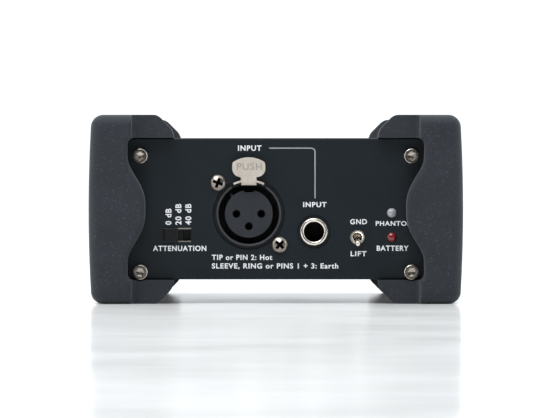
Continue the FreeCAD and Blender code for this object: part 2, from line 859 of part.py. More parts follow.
def make_latch_spring():
    """Leaf riveted on the barrel behind the latch's eye, reaching forward over the arm."""
    low = latch_radius + latch_thickness + latch_spring_gap + latch_eye_radius
    half = latch_spring_width / 2
    back = xlr_channel_depth + xlr_floor_thickness
    leaf = box(-half, half, latch_hook_depth, back, low, low + latch_spring_thickness)
    seat_block = box(-half, half, back - latch_spring_foot, back, xlr_barrel_radius - over, low)
    body = rod(0, 0, xlr_barrel_radius, back - latch_spring_foot - over, back + over)
    return leaf.fuse(seat_block.cut(body))


def save_pan_screws(name, x, z, side):
    screws = []
    for sign in (-1, 1):
        screw = make_pan_screw()
        screw.rotate(Vec(0, 0, 0), Vec(0, 1, 0), pan_screw_turns[sign])
        screw.translate(Vec(sign * xlr_screw_offset, 0, -sign * xlr_screw_offset))
        screws.append(seat(screw, x, z, side))
    save(name, *screws)


def make_output_xlr():
    side = "rear"
    x = xlr_out_x
    z = base_z + xlr_height
    back = xlr_channel_depth + xlr_floor_thickness + xlr_back_wall
    shell = xlr_body(xlr_plug_cavity_radius)
    insert = rod(0, 0, xlr_plug_cavity_radius - insert_fit, xlr_channel_depth,
                 xlr_channel_depth + xlr_floor_thickness)
    key = box(-pin_key_width / 2, pin_key_width / 2, pin_setback, xlr_channel_depth + over,
              xlr_plug_cavity_radius - pin_key_height, xlr_plug_cavity_radius - pin_key_fit)
    insert = insert.fuse(key)
    pins = []
    for px, pz in pole_spots():
        hole = rod(px, pz, pin_radius, xlr_channel_depth - over, back + over)
        insert = insert.cut(hole)
        shell = shell.cut(hole)
        pin = rod(px, pz, pin_radius, pin_setback, back + lead_size)
        tip = [edge for edge in pin.Edges if edge.BoundBox.YMax < pin_setback + near]
        pin = pin.makeFillet(pin_tip_round, tip)
        pins.append(pin.fuse(leg(px, back + lead_size, pz, x, z, side)))
    save("output_xlr_shell", seat(shell, x, z, side))
    save("output_xlr_insert", seat(insert, x, z, side))
    save("output_xlr_pins", *[seat(pin, x, z, side) for pin in pins])
    save_pan_screws("output_xlr_screws", x, z, side)


# ------------------------------------------------------------------ quarter-inch jacks
def make_jack(prefix, x, side):
    """Moulded jack with a nickel ferrule and three contact springs standing in side slots."""
    z = base_z + jack_height
    end = t + jack_body_depth
    body = rounded_block(-jack_body_half_width, jack_body_half_width, t, end,
                         -jack_body_half_height, jack_body_half_height, jack_body_round)
    body = body.fuse(rod(0, 0, jack_collar_radius, jack_collar_setback, t))
    body = body.cut(rod(0, 0, jack_ferrule_radius, -over, jack_ferrule_length))
    body = body.cut(rod(0, 0, jack_cavity_radius, jack_ferrule_length - over, end - jack_back_wall))
    ferrule = tube(0, 0, jack_ferrule_radius, jack_bore_radius,
                   -jack_ferrule_proud, jack_ferrule_length)
    mouth = cone(0, 0, jack_bore_radius + jack_ferrule_lip, jack_bore_radius,
                 -jack_ferrule_proud, -jack_ferrule_proud + jack_ferrule_lip)
    ferrule = ferrule.cut(mouth)
    outside = [edge for edge in ferrule.Edges if edge.BoundBox.YMax < -jack_ferrule_proud + near
               and edge.BoundBox.XLength > 2 * jack_ferrule_radius - near]
    ferrule = ferrule.makeFillet(jack_ferrule_lip, outside)
    springs = []
    half = jack_spring_width / 2
    for i in range(3):
        sign = 1 if i % 2 else -1
        y = jack_spring_first + i * jack_spring_pitch
        inner = jack_cavity_radius - jack_spring_inset
        outer = inner + jack_spring_thickness
        x0, x1 = sorted((sign * inner, sign * outer))
        strip = box(x0, x1, y - half, y + half, -jack_body_half_height, jack_cavity_radius)
        bump = Part.makeCylinder(jack_spring_bump, jack_spring_width,
                                 Vec(sign * inner, y - half, 0), Vec(0, 1, 0))
        keep = box(min(0, sign * outer), max(0, sign * outer), y - half, y + half,
                   -jack_spring_bump, jack_spring_bump)
        spring = strip.fuse(bump.common(keep))
        f = jack_spring_fit
        body = body.cut(box(x0 - f, x1 + f, y - half - f, y + half + f,
                            -jack_body_half_height - over, jack_cavity_radius + f))
        centre = sign * (inner + jack_spring_thickness / 2)
        spring = spring.fuse(leg(centre, y, jack_lead_overlap - jack_body_half_height, x, z, side))
        widen = lead_size / 2 + f
        body = body.cut(box(centre - widen, centre + widen, y - widen, y + widen,
                            -jack_body_half_height - over,
                            jack_lead_overlap - jack_body_half_height + f))
        springs.append(spring)
    save(prefix + "_body", seat(body, x, z, side))
    save(prefix + "_ferrule", seat(ferrule, x, z, side))
    save(prefix + "_contacts", *[seat(spring, x, z, side) for spring in springs])


# ------------------------------------------------------------------ attenuator switch
def make_attenuator():
    side = "front"
    x = attenuator_x
    z = base_z + attenuator_height
    half_window = window_width / 2
    frame_back = t + switch_frame_thickness
    side_half = switch_frame_side_width / 2
    foot_back = frame_back + knob_slide_gap + knob_foot_thickness
    side_end = foot_back + knob_slide_gap + switch_base_depth
    half_h = switch_frame_height / 2
    frame = box(-switch_frame_width / 2, switch_frame_width / 2, t, frame_back, -half_h, half_h)
    frame = frame.fuse(box(-side_half, side_half, t, side_end, -half_h, half_h))
    inner_h = half_h - switch_frame_thickness
    frame = frame.cut(box(-side_half - over, side_half + over, frame_back, side_end + over,
                          -inner_h, inner_h))
    frame = frame.cut(box(-half_window, half_window, t - over, frame_back + over,
                          -switch_frame_window_height / 2, switch_frame_window_height / 2))
    base_y = foot_back + knob_slide_gap
    base = box(-side_half, side_half, base_y, base_y + switch_base_depth, -inner_h, inner_h)

    centre = -half_window + knob_end_gap + knob_width / 2
    head = box(centre - knob_width / 2, centre + knob_width / 2, -knob_proud, t - knob_slide_gap,
               -knob_height / 2, knob_height / 2)
    front_edges = [edge for edge in head.Edges if edge.BoundBox.YMax < -knob_proud + near]
    head = head.makeFillet(knob_edge_round, front_edges)
    pitch = knob_width / (knob_grooves + 1)
    for i in range(knob_grooves):
        groove_x = centre - knob_width / 2 + (i + 1) * pitch
        head = head.cut(box(groove_x - knob_groove_width / 2, groove_x + knob_groove_width / 2,
                            -knob_proud - over, -knob_proud + knob_groove_depth,
                            -knob_height, knob_height))
    neck = box(centre - knob_neck_width / 2, centre + knob_neck_width / 2,
               t - knob_slide_gap, frame_back + knob_slide_gap,
               -knob_neck_height / 2, knob_neck_height / 2)
    foot = box(centre - knob_foot_width / 2, centre + knob_foot_width / 2,
               frame_back + knob_slide_gap, foot_back, -knob_foot_height / 2, knob_foot_height / 2)
    knob = head.fuse(neck).fuse(foot)

    terminals = []
    back = base_y + switch_base_depth
    for i in range(3):
        tx = (i - 1) * switch_terminal_pitch
        stub = box(tx - lead_size / 2, tx + lead_size / 2, back, back + terminal_stub,
                   -lead_size / 2, lead_size / 2)
        terminals.append(stub.fuse(leg(tx, back + terminal_stub, lead_size / 2, x, z, side)))
    save("attenuator_switch_frame", seat(frame, x, z, side))
    save("attenuator_switch_base", seat(base, x, z, side))
    save("attenuator_knob", seat(knob, x, z, side))
    save("attenuator_terminals", *[seat(piece, x, z, side) for piece in terminals])


# ------------------------------------------------------------------ ground-lift toggle
def make_toggle():
    side = "front"
    x = lift_x
    z = base_z + lift_height
    plate_back = t + toggle_plate_thickness
    bushing = rod(0, 0, toggle_bushing_radius, -toggle_bushing_proud, plate_back)
    bushing = bushing.fuse(rod(0, 0, toggle_plate_radius, t, plate_back))
    bushing = bushing.cut(rod(0, 0, toggle_bore_radius, -2 * over, plate_back + over))
    bushing = bushing.cut(cone(0, 0, toggle_bore_radius + toggle_mouth_bevel, toggle_bore_radius,
                               -toggle_bushing_proud, -toggle_bushing_proud + toggle_mouth_bevel))

    # The lever turns on a cross pin, which lies in slots open to the back of the bushing.
    pivot = t + toggle_pivot_behind
    cross_pin = Part.makeCylinder(toggle_pin_radius, 2 * toggle_pin_reach,
                                  Vec(-toggle_pin_reach, pivot, 0), Vec(1, 0, 0))
    slot_half = toggle_pin_radius + toggle_pin_fit
    slot_reach = toggle_pin_reach + toggle_pin_fit
    pin_slot = box(-slot_reach, slot_reach, pivot - slot_half, pivot + slot_half,
                   -slot_half, slot_half)
    bushing = bushing.cut(pin_slot)
    ball_radius = toggle_bore_radius - toggle_ball_clearance
    tip_centre = pivot - toggle_lever_length + toggle_lever_tip_radius
    lever = Part.makeSphere(ball_radius, Vec(0, pivot, 0)).fuse(cross_pin)
    lever = lever.fuse(cone(0, 0, toggle_lever_tip_radius, toggle_lever_root_radius,
                            tip_centre, pivot))
    lever = lever.fuse(Part.makeSphere(toggle_lever_tip_radius, Vec(0, tip_centre, 0)))
    lever = lever.fuse(rod(0, 0, toggle_tail_radius, pivot, pivot + toggle_tail_length))
    lever.rotate(Vec(0, pivot, 0), Vec(1, 0, 0), toggle_half_throw)

    half_w = toggle_body_width / 2
    half_h = toggle_body_height / 2
    end = plate_back + toggle_body_depth
    body = box(-half_w, half_w, plate_back, end, -half_h, half_h)
    swing = toggle_tail_length * math.sin(math.radians(toggle_half_throw)) + toggle_tail_radius
    well_end = pivot + toggle_tail_length + toggle_well_clearance
    well_half = swing + toggle_well_clearance
    well = box(-ball_radius, ball_radius, plate_back - over, well_end, -well_half, well_half)
    body = body.cut(well).cut(Part.makeSphere(toggle_bore_radius, Vec(0, pivot, 0))).cut(pin_slot)
    terminals = []
    for i in range(3):
        tx = (i - 1) * toggle_terminal_pitch
        stub = box(tx - lead_size / 2, tx + lead_size / 2, end, end + terminal_stub,
                   -lead_size / 2, lead_size / 2)
        terminals.append(stub.fuse(leg(tx, end + terminal_stub, lead_size / 2, x, z, side)))
    save("lift_switch_bushing", seat(bushing, x, z, side))
    save("lift_switch_lever", seat(lever, x, z, side))
    save("lift_switch_body", seat(body, x, z, side))
    save("lift_switch_terminals", *[seat(piece, x, z, side) for piece in terminals])


# ------------------------------------------------------------------ indicator lamps
def make_led(name, height):
    """Round lamp with a domed nose, a rim behind the panel and two leads bent to the board."""
    x = led_x
    z = base_z + height
    end = led_body_depth
    lens = rod(0, 0, led_radius, -led_proud, end)
    ball_radius = (led_radius ** 2 + led_nose_height ** 2) / (2 * led_nose_height)
    nose = Part.makeSphere(ball_radius, Vec(0, ball_radius - led_proud - led_nose_height, 0))
    lens = lens.fuse(nose.common(rod(0, 0, led_radius, -led_proud - led_nose_height, -led_proud)))
    lens = lens.fuse(rod(0, 0, led_rim_radius, end - led_rim_thickness, end))
    save(name, seat(lens, x, z, "front"))
    leads = []
    half = lead_size / 2
    reach = led_lead_reach[name]
    for sign in (-1, 1):
        lx = sign * led_lead_pitch / 2
        stub = box(lx - half, lx + half, end, end + reach, -half, half)
        leads.append(seat(stub.fuse(leg(lx, end + reach, half, x, z, "front")), x, z, "front"))
    return leads


# ------------------------------------------------------------------ battery and drawer
drawer_inner_width = battery_width + 2 * battery_play
drawer_inner_height = battery_thickness + battery_play
drawer_outer_width = drawer_inner_width + 2 * drawer_wall
drawer_outer_height = drawer_inner_height + drawer_wall
drawer_length = battery_length + drawer_wall
battery_floor = -drawer_outer_height / 2 + drawer_wall


def make_battery_bay():
    side = "rear"
    x = drawer_x
    z = base_z + drawer_height
    half_w = drawer_outer_width / 2
    half_h = drawer_outer_height / 2
    front = -drawer_front_gap
    plate = rounded_block(-half_w - drawer_front_margin, half_w + drawer_front_margin,
                          front - drawer_front_thickness, front,
                          -half_h - drawer_front_margin, half_h + drawer_front_margin,
                          drawer_front_round)
    grip = rounded_block(-drawer_grip_width / 2, drawer_grip_width / 2,
                         front - drawer_front_thickness - drawer_grip_depth,
                         front - drawer_front_thickness,
                         half_h - drawer_grip_height, half_h, drawer_grip_height / 3)
    tray = box(-half_w, half_w, front, drawer_length, -half_h, half_h)
    well = box(-drawer_inner_width / 2, drawer_inner_width / 2, front + drawer_wall,
               drawer_length + over, battery_floor, half_h + over)
    drawer = plate.fuse(grip).fuse(tray.cut(well))

    low = battery_floor
    start = front + drawer_wall + battery_play
    end = start + battery_length
    battery = rounded_block(-battery_width / 2, battery_width / 2, start, end, low,
                            low + battery_thickness, battery_round)
    stud_z = low + battery_thickness / 2
    studs = []
    for sign in (-1, 1):
        radius = stud_radius if sign > 0 else stud_radius + stud_socket_extra
        studs.append(rod(sign * stud_pitch / 2, stud_z, radius, end, end + stud_height))

    box_half_w = half_w + drawer_fit
    box_half_h = half_h + drawer_fit
    w = battery_box_wall
    inner_end = end + stud_height + contact_blade_gap + contact_blade_thickness
    bay = box(-box_half_w - w, box_half_w + w, t, inner_end + w, -box_half_h - w, box_half_h + w)
    bay = bay.cut(box(-box_half_w, box_half_w, t - over, inner_end, -box_half_h, box_half_h))
    blades = []
    for sign in (-1, 1):
        bx = sign * stud_pitch / 2
        half = contact_blade_width / 2
        blade = box(bx - half, bx + half, inner_end - contact_blade_thickness, inner_end,
                    stud_z - half, stud_z + half)
        tail = rod(bx, stud_z, lead_size, inner_end, inner_end + w + contact_tail)
        bay = bay.cut(tail)
        down = leg(bx, inner_end + w + contact_tail, stud_z, x, z, side)
        blades.append(blade.fuse(tail).fuse(down))
    save("battery_drawer", seat(drawer, x, z, side))
    save("battery", seat(battery, x, z, side))
    save("battery_studs", *[seat(stud, x, z, side) for stud in studs])
    save("battery_bay", seat(bay, x, z, side))
    save("battery_contacts", *[seat(blade, x, z, side) for blade in blades])


# ------------------------------------------------------------------ board and parts on it
def board_leg(x, y, z_top):
    lead_spots.append((x, y))
    half = lead_size / 2
    return box(x - half, x + half, y - half, y + half, board_bottom - lead_poke, z_top)


def make_transformer():
    x = transformer_x
    y = transformer_y
    z0 = board_top
    z1 = z0 + transformer_height
    half_l = transformer_length / 2
    half_w = transformer_width / 2
    stack = transformer_stack / 2
    core = box(x - half_w, x + half_w, y - stack, y + stack, z0, z1)
    leg_half = transformer_leg / 2
    window_z0 = z0 + transformer_leg / 2
    window_z1 = z1 - transformer_leg / 2
    for sign in (-1, 1):
        x0, x1 = sorted((x + sign * leg_half, x + sign * (leg_half + transformer_window)))
        core = core.cut(box(x0, x1, y - stack - over, y + stack + over, window_z0, window_z1))
    reach = leg_half + transformer_window
    winding = rounded_block(x - reach, x + reach, y - half_l, y + half_l, window_z0, window_z1,
                            transformer_window - bobbin_wall, Vec(0, 0, 1))
    hole = box(x - leg_half, x + leg_half, y - stack, y + stack, window_z0 - over, window_z1 + over)
    winding = winding.cut(hole)
    cheek_low = box(x - reach, x + reach, y - half_l, y + half_l, window_z0,
                    window_z0 + bobbin_wall)
    cheek_high = box(x - reach, x + reach, y - half_l, y + half_l, window_z1 - bobbin_wall,
                     window_z1)
    bobbin = cheek_low.fuse(cheek_high).cut(hole)
    feet = []
    for sx in (-1, 1):
        for sy in (-1, 1):
            foot_x = x + sx * reach * transformer_pin_share
            foot_y = y + sy * (half_l - transformer_pin_inset)
            feet.append(board_leg(foot_x, foot_y, window_z0))
    winding = winding.cut(cheek_low).cut(cheek_high)
    return core, winding, bobbin, feet


def make_resistor(x, y):
    """Lacquered rod with thicker ends, and a wire at each end bent down through the board."""
    axis_z = board_top + resistor_end_radius
    half = resistor_length / 2
    wire_half = lead_size / 2
    resistor = rod(x, axis_z, resistor_radius, y - half, y + half)
    for sign in (-1, 1):
        tip = y + sign * half
        inner = tip - sign * resistor_end_length
        outer = tip + sign * resistor_wire
        resistor = resistor.fuse(rod(x, axis_z, resistor_end_radius, *sorted((inner, tip))))
        wire_y0, wire_y1 = sorted((tip, outer))
        wire = box(x - wire_half, x + wire_half, wire_y0, wire_y1,
                   axis_z - wire_half, axis_z + wire_half)
        resistor = resistor.fuse(wire).fuse(board_leg(x, outer, axis_z))
    return resistor


def make_board():
    core, winding, bobbin, feet = make_transformer()
    save("transformer_core", core)
    save("transformer_winding", winding)
    save("transformer_bobbin", bobbin)
    save("transformer_pins", *feet)

    cans = []
    films = []
    chips = []
    chip_pins = []
    resistors = []
    for x, y in capacitor_spots:
        can = post(x, y, capacitor_radius, board_top, board_top + capacitor_height)
        low = board_top + capacitor_groove_low
        high = board_top + capacitor_groove_high
        ring = post(x, y, capacitor_radius + over, low, high)
        ring = ring.cut(post(x, y, capacitor_radius - capacitor_groove, low - over, high + over))
        cans.append(can.cut(ring))
    for x, y in film_spots:
        films.append(rounded_block(x - film_width / 2, x + film_width / 2,
                                   y - film_thickness / 2, y + film_thickness / 2,
                                   board_top, board_top + film_height, film_edge_round,
                                   Vec(0, 0, 1)))
    for x, y in chip_spots:
        low = board_top + chip_standoff
        chip = box(x - chip_length / 2, x + chip_length / 2, y - chip_width / 2,
                   y + chip_width / 2, low, low + chip_height)
        dimple = post(x - chip_length / 2, y, chip_dimple_radius, low, low + chip_height + over)
        chips.append(chip.cut(dimple))
        for i in range(chip_pins_per_side):
            px = x + (i - (chip_pins_per_side - 1) / 2) * chip_pitch
            for sign in (-1, 1):
                inner = y + sign * chip_width / 2
                outer = inner + sign * lead_size
                y0, y1 = sorted((inner, outer))
                shoulder = box(px - lead_size / 2, px + lead_size / 2, y0, y1,
                               low, low + chip_height / 2)
                chip_pins.append(shoulder.fuse(board_leg(px, (inner + outer) / 2, low)))
    for i in range(resistor_count):
        resistors.append(make_resistor(resistor_first_x + i * resistor_pitch, resistor_row_y))
    save("electrolytic_capacitors", *cans)
    save("film_capacitors", *films)
    save("op_amp_chips", *chips)
    save("op_amp_pins", *chip_pins)
    save("resistors", *resistors)

    half_x = inner_half - board_side_gap
    half_y = half_sleeve - board_end_gap
    board = box(-half_x, half_x, -half_y, half_y, board_bottom, board_top)
    half_hole = lead_hole_width / 2
    holes = [
        box(x - half_hole, x + half_hole, y - half_hole, y + half_hole,
            board_bottom - over, board_top + over)
        for x, y in lead_spots
    ]
    board = board.cut(holes[0].multiFuse(holes[1:]))
    save("circuit_board", board)


# ------------------------------------------------------------------ build
save("housing_sleeve", make_sleeve())
save("front_panel", make_front_panel())
save("rear_panel", make_rear_panel())

bumper = make_bumper()
save("bumper_front_left", bumper)
save("bumper_front_right", mirrored(bumper, True, False))
save("bumper_rear_left", mirrored(bumper, False, True))
save("bumper_rear_right", mirrored(bumper, True, True))

for side in ("front", "rear"):
    screws = []
    washers = []
    for index, (x, z) in enumerate(screw_spots):
        screw = make_cap_screw()
        screw.rotate(Vec(0, 0, 0), Vec(0, 1, 0), cap_screw_turn * index)
        washer = make_washer()
        screws.append(seat(screw, x, z, side))
        washers.append(seat(washer, x, z, side))
    save(side + "_panel_screws", *screws)
    save(side + "_lock_washers", *washers)

make_input_xlr()
make_output_xlr()
make_jack("input_jack", jack_in_x, "front")
make_jack("link_jack", jack_out_x, "rear")
make_attenuator()
make_toggle()
leads = make_led("phantom_led", phantom_height)
leads += make_led("battery_led", battery_led_height)
save("led_leads", *leads)
make_battery_bay()
make_board()
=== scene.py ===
# %% [markdown]
# # A direct injection box, finished in Blender
#
# A direct injection box stands on a stage floor and turns an instrument's signal into a balanced
# one. The design model gives every part its true size and place. This lesson loads that model as
# a fixed frame, gives each part the finish of the real one, and adds what a designer's solid
# leaves out: printed lettering, ribbed screw heads, the word on the latch and moulded grain.

# %% Load the frame
import math

import bmesh
import bpy
from mathutils import Matrix, Vector


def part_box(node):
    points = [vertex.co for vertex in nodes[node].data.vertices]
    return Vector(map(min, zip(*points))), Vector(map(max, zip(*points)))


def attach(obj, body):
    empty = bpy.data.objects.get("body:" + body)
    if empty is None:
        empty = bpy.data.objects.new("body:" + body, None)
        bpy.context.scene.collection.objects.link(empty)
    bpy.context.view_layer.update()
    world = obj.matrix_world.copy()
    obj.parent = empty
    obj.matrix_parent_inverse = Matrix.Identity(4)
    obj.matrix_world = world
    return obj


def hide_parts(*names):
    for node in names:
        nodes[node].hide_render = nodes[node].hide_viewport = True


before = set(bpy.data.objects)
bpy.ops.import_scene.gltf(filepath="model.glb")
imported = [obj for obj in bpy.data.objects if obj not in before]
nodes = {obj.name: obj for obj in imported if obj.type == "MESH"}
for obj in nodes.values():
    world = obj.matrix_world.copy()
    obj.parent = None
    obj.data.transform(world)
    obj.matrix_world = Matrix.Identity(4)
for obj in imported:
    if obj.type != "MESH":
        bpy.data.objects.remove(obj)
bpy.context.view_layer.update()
MM = 0.001
print("parts in the frame:", len(nodes))

# %% [markdown]
# ## Where things are
#
# Places are read from the frame, so that nothing has to be fitted by eye. The panels' outer faces
# are flat and lie as far in front of the middle as behind it, so one Y serves both.

# %% Reference places
FACE_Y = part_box("front_panel")[0].y
FRONT_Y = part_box("bumper_front_left")[0].y
shell_low, shell_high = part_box("input_xlr_shell")
SOCKET = Vector(((shell_low.x + shell_high.x) / 2, FACE_Y, (shell_low.z + shell_high.z) / 2))
print("front panel face at y =", round(FACE_Y, 4), " socket centre =", tuple(SOCKET))

# %% [markdown]
# ## Building a finish from nodes
#
# Each finish is a small node tree. The grain, and the highlight painted on the connectors' rims,
# are worked out from the place on the object, in metres, so that they keep their real size. Values
# that are the same all over go straight on the shader, because an exporter reads them there.

# %% Helpers for finishes
def new_finish(name, color, roughness, metallic=0.0):
    """A material with a shader ready to take detail."""
    finish = bpy.data.materials.new(name)
    finish.use_nodes = True
    shader = finish.node_tree.nodes["Principled BSDF"]
    shader.inputs["Base Color"].default_value = (*color, 1.0)
    shader.inputs["Roughness"].default_value = roughness
    shader.inputs["Metallic"].default_value = metallic
    return finish, finish.node_tree, shader


def place_on_object(tree, stretch=(1, 1, 1)):
    """Coordinates in metres on the object, stretched along an axis where the grain runs."""
    coords = tree.nodes.new("ShaderNodeTexCoord")
    mapping = tree.nodes.new("ShaderNodeMapping")
    mapping.inputs["Scale"].default_value = stretch
    tree.links.new(coords.outputs["Object"], mapping.inputs["Vector"])
    return mapping.outputs["Vector"]


def noise(tree, vector, size_mm, detail=2.0):
    """Noise whose features are about size_mm across."""
    node = tree.nodes.new("ShaderNodeTexNoise")
    node.inputs["Scale"].default_value = 1.0 / (size_mm * MM)
    node.inputs["Detail"].default_value = detail
    tree.links.new(vector, node.inputs["Vector"])
    return node.outputs["Fac"]


def ramp(tree, fac, stops):
    """Colour ramp from two pairs of (position, colour)."""
    node = tree.nodes.new("ShaderNodeValToRGB")
    for element, (position, color) in zip(node.color_ramp.elements, stops):
        element.position = position
        element.color = (*color, 1.0)
    tree.links.new(fac, node.inputs["Fac"])
    return node.outputs["Color"]


def spread(tree, fac, low, high, start=0.0, end=1.0):
    """Map a 0 to 1 pattern onto another range."""
    node = tree.nodes.new("ShaderNodeMapRange")
    node.inputs["From Min"].default_value = start
    node.inputs["From Max"].default_value = end
    node.inputs["To Min"].default_value = low
    node.inputs["To Max"].default_value = high
    tree.links.new(fac, node.inputs["Value"])
    return node.outputs["Result"]


def add_bump(tree, shader, height, strength, depth_mm, under=None):
    """Relief of a given depth; relief under it can be chained."""
    node = tree.nodes.new("ShaderNodeBump")
    node.inputs["Strength"].default_value = strength
    node.inputs["Distance"].default_value = depth_mm * MM
    tree.links.new(height, node.inputs["Height"])
    if under is not None:
        tree.links.new(under, node.inputs["Normal"])
    tree.links.new(node.outputs["Normal"], shader.inputs["Normal"])
    return node.outputs["Normal"]


# %% [markdown]
# ## Corner bumpers: moulded rubber
#
# The bumpers are moulded in a spark-eroded tool, so the rubber has an even fine grain, with tiny
# pale specks where dust and mould powder stay in it. Two sizes of noise make the grain, and a
# sharp ramp on a third one leaves only its peaks as specks. Rubber scatters light broadly, so it
# is rough, with a weak sheen.

# %% Rubber
SPECK_SHARE = 0.6


def make_rubber():
    finish, tree, shader = new_finish("moulded_rubber", (0.017, 0.0195, 0.0245), roughness=0.72)
    place = place_on_object(tree)
    cloud = noise(tree, place, size_mm=9.0, detail=3.0)
    speck = noise(tree, place, size_mm=0.55, detail=1.0)
    base = ramp(tree, cloud, [(0.3, (0.0155, 0.0188, 0.025)), (0.7, (0.0195, 0.0238, 0.031))])
    specks = ramp(tree, speck, [(0.62, (0, 0, 0)), (0.76, (0.05, 0.053, 0.058))])
    mix = tree.nodes.new("ShaderNodeMix")
    mix.data_type = "RGBA"
    mix.blend_type = "ADD"
    mix.inputs["Factor"].default_value = SPECK_SHARE
    tree.links.new(base, mix.inputs["A"])
    tree.links.new(specks, mix.inputs["B"])
    tree.links.new(mix.outputs["Result"], shader.inputs["Base Color"])
    fine = noise(tree, place, size_mm=0.35)
    coarse = noise(tree, place, size_mm=1.1)
    under = add_bump(tree, shader, coarse, strength=0.35, depth_mm=0.08)
    add_bump(tree, shader, fine, strength=0.5, depth_mm=0.06, under=under)
    tree.links.new(spread(tree, fine, low=0.62, high=0.8), shader.inputs["Roughness"])
    shader.inputs["Specular IOR Level"].default_value = 0.32
    shader.inputs["Sheen Weight"].default_value = 0.12
    shader.inputs["Sheen Roughness"].default_value = 0.5
    return finish


RUBBER = make_rubber()
print("made finish:", RUBBER.name)

# %% [markdown]
# ## Panels and sleeve: satin powder coat
#
# Powder coat flows into a skin with a very fine orange peel. Seen close up it is not flat: the
# relief is a few hundredths of a millimetre deep and about a millimetre wide. A slight blue cast
# in the black pigment is what tells it from the rubber.

# %% Powder coat
def make_coat():
    finish, tree, shader = new_finish("satin_powder_coat", (0.0055, 0.0085, 0.0115),
                                      roughness=0.42)
    place = place_on_object(tree)
    cloud = noise(tree, place, size_mm=14.0, detail=3.0)
    color = ramp(tree, cloud, [(0.3, (0.0053, 0.0095, 0.013)), (0.7, (0.0068, 0.0118, 0.016))])
    tree.links.new(color, shader.inputs["Base Color"])
    peel = noise(tree, place, size_mm=0.8, detail=1.5)
    grain = noise(tree, place, size_mm=0.22, detail=1.0)
    under = add_bump(tree, shader, peel, strength=0.25, depth_mm=0.04)
    add_bump(tree, shader, grain, strength=0.25, depth_mm=0.015, under=under)
    tree.links.new(spread(tree, grain, low=0.36, high=0.5), shader.inputs["Roughness"])
    shader.inputs["Specular IOR Level"].default_value = 0.27
    return finish


COAT = make_coat()
print("made finish:", COAT.name)

# %% [markdown]
# ## Metals
#
# Ferrules, levers and the latch are nickel plated: a warm white metal, smooth but not perfect.
# Faint scratches and a cloudy roughness keep the reflections from looking like glass. The screws
# have been handled, so their nickel is duller; the connector screws take a copy of it painted
# darker as shade. The word on the latch takes a copy of the tab's metal painted darker as shade.
# Contacts that lie deep in a hole are gilt, painted nearly black as painted shade. One function
# makes all the metals, and only colour, roughness and grain change.

# %% Metals
CLOUD_GRAINS = 6


def make_metal(name, dark, light, rough, grain_mm, depth_mm, stretch=(1, 1, 1)):
    finish, tree, shader = new_finish(name, light, roughness=rough[0], metallic=1.0)
    place = place_on_object(tree, stretch)
    cloud = noise(tree, place, grain_mm * CLOUD_GRAINS, detail=3.0)
    tree.links.new(ramp(tree, cloud, [(0.3, dark), (0.7, light)]), shader.inputs["Base Color"])
    grain = noise(tree, place, grain_mm, detail=3.0)
    tree.links.new(spread(tree, grain, *rough), shader.inputs["Roughness"])
    add_bump(tree, shader, grain, strength=0.3, depth_mm=depth_mm)
    return finish


NICKEL = make_metal("bright_nickel", (0.74, 0.69, 0.62), (0.84, 0.79, 0.72),
                    rough=(0.12, 0.26), grain_mm=0.5, depth_mm=0.006)
STAMPED = make_metal("stamped_nickel", (0.86, 0.78, 0.69), (0.95, 0.87, 0.78),
                     rough=(0.34, 0.5), grain_mm=0.35, depth_mm=0.012)
# A copy of the stamped nickel painted darker: painted shade for the latch's word.
STAMPED_IN_PAINTED_SHADE = make_metal("stamped_nickel_in_painted_shade", (0.58, 0.53, 0.47), (0.68, 0.62, 0.55),
                     rough=(0.3, 0.45), grain_mm=0.3, depth_mm=0.01)
AGED = make_metal("aged_nickel", (0.36, 0.325, 0.285), (0.47, 0.425, 0.37),
                  rough=(0.2, 0.32), grain_mm=0.4, depth_mm=0.008)
# A copy of the aged nickel painted darker: painted shade for the connector screws' domed heads.
AGED_IN_PAINTED_SHADE = make_metal("aged_nickel_in_painted_shade", (0.23, 0.205, 0.18), (0.31, 0.28, 0.245),
                    rough=(0.2, 0.32), grain_mm=0.4, depth_mm=0.008)
STEEL = make_metal("plain_steel", (0.45, 0.43, 0.41), (0.58, 0.56, 0.53),
                   rough=(0.24, 0.4), grain_mm=0.3, depth_mm=0.01)
GILT = make_metal("gilt_contact", (0.66, 0.48, 0.22), (0.80, 0.62, 0.32),
                  rough=(0.2, 0.34), grain_mm=0.3, depth_mm=0.006)
LAMINATION = make_metal("laminated_core", (0.16, 0.16, 0.17), (0.28, 0.28, 0.29),
                        rough=(0.4, 0.6), grain_mm=0.5, depth_mm=0.05, stretch=(1, 6, 1))
# Gilt contacts painted nearly black: painted shade deep in their holes.
CONTACT_IN_PAINTED_SHADE = make_metal("contact_in_painted_shade", (0.05, 0.05, 0.05), (0.09, 0.085, 0.08),
                       rough=(0.5, 0.7), grain_mm=0.3, depth_mm=0.01)
METALS = (NICKEL, STAMPED, STAMPED_IN_PAINTED_SHADE, AGED, AGED_IN_PAINTED_SHADE, STEEL, GILT, LAMINATION, CONTACT_IN_PAINTED_SHADE)
print("made metals:", [metal.name for metal in METALS])

# %% [markdown]
# ## Painted shade in the recesses
#
# Shade is painted into a screw's recess, and a dark reflection is painted onto the flat of its
# head. The screws' meshes, made further down, carry a value at each point that says how much
# painted shade lies there, and the finish mixes its colour towards black by that value.

# %% Painted shade
def add_painted_shade(finish):
    """Darkens a metal towards black with painted shade where its mesh asks for it."""
    tree = finish.node_tree
    shader = tree.nodes["Principled BSDF"]
    unshaded_color = shader.inputs["Base Color"].links[0].from_socket
    painted_shade = tree.nodes.new("ShaderNodeAttribute")
    painted_shade.attribute_name = "painted_shade"
    mix = tree.nodes.new("ShaderNodeMix")
    mix.data_type = "RGBA"
    mix.inputs["B"].default_value = (0.006, 0.006, 0.006, 1.0)
    tree.links.new(painted_shade.outputs["Fac"], mix.inputs["Factor"])
    tree.links.new(unshaded_color, mix.inputs["A"])
    tree.links.new(mix.outputs["Result"], shader.inputs["Base Color"])


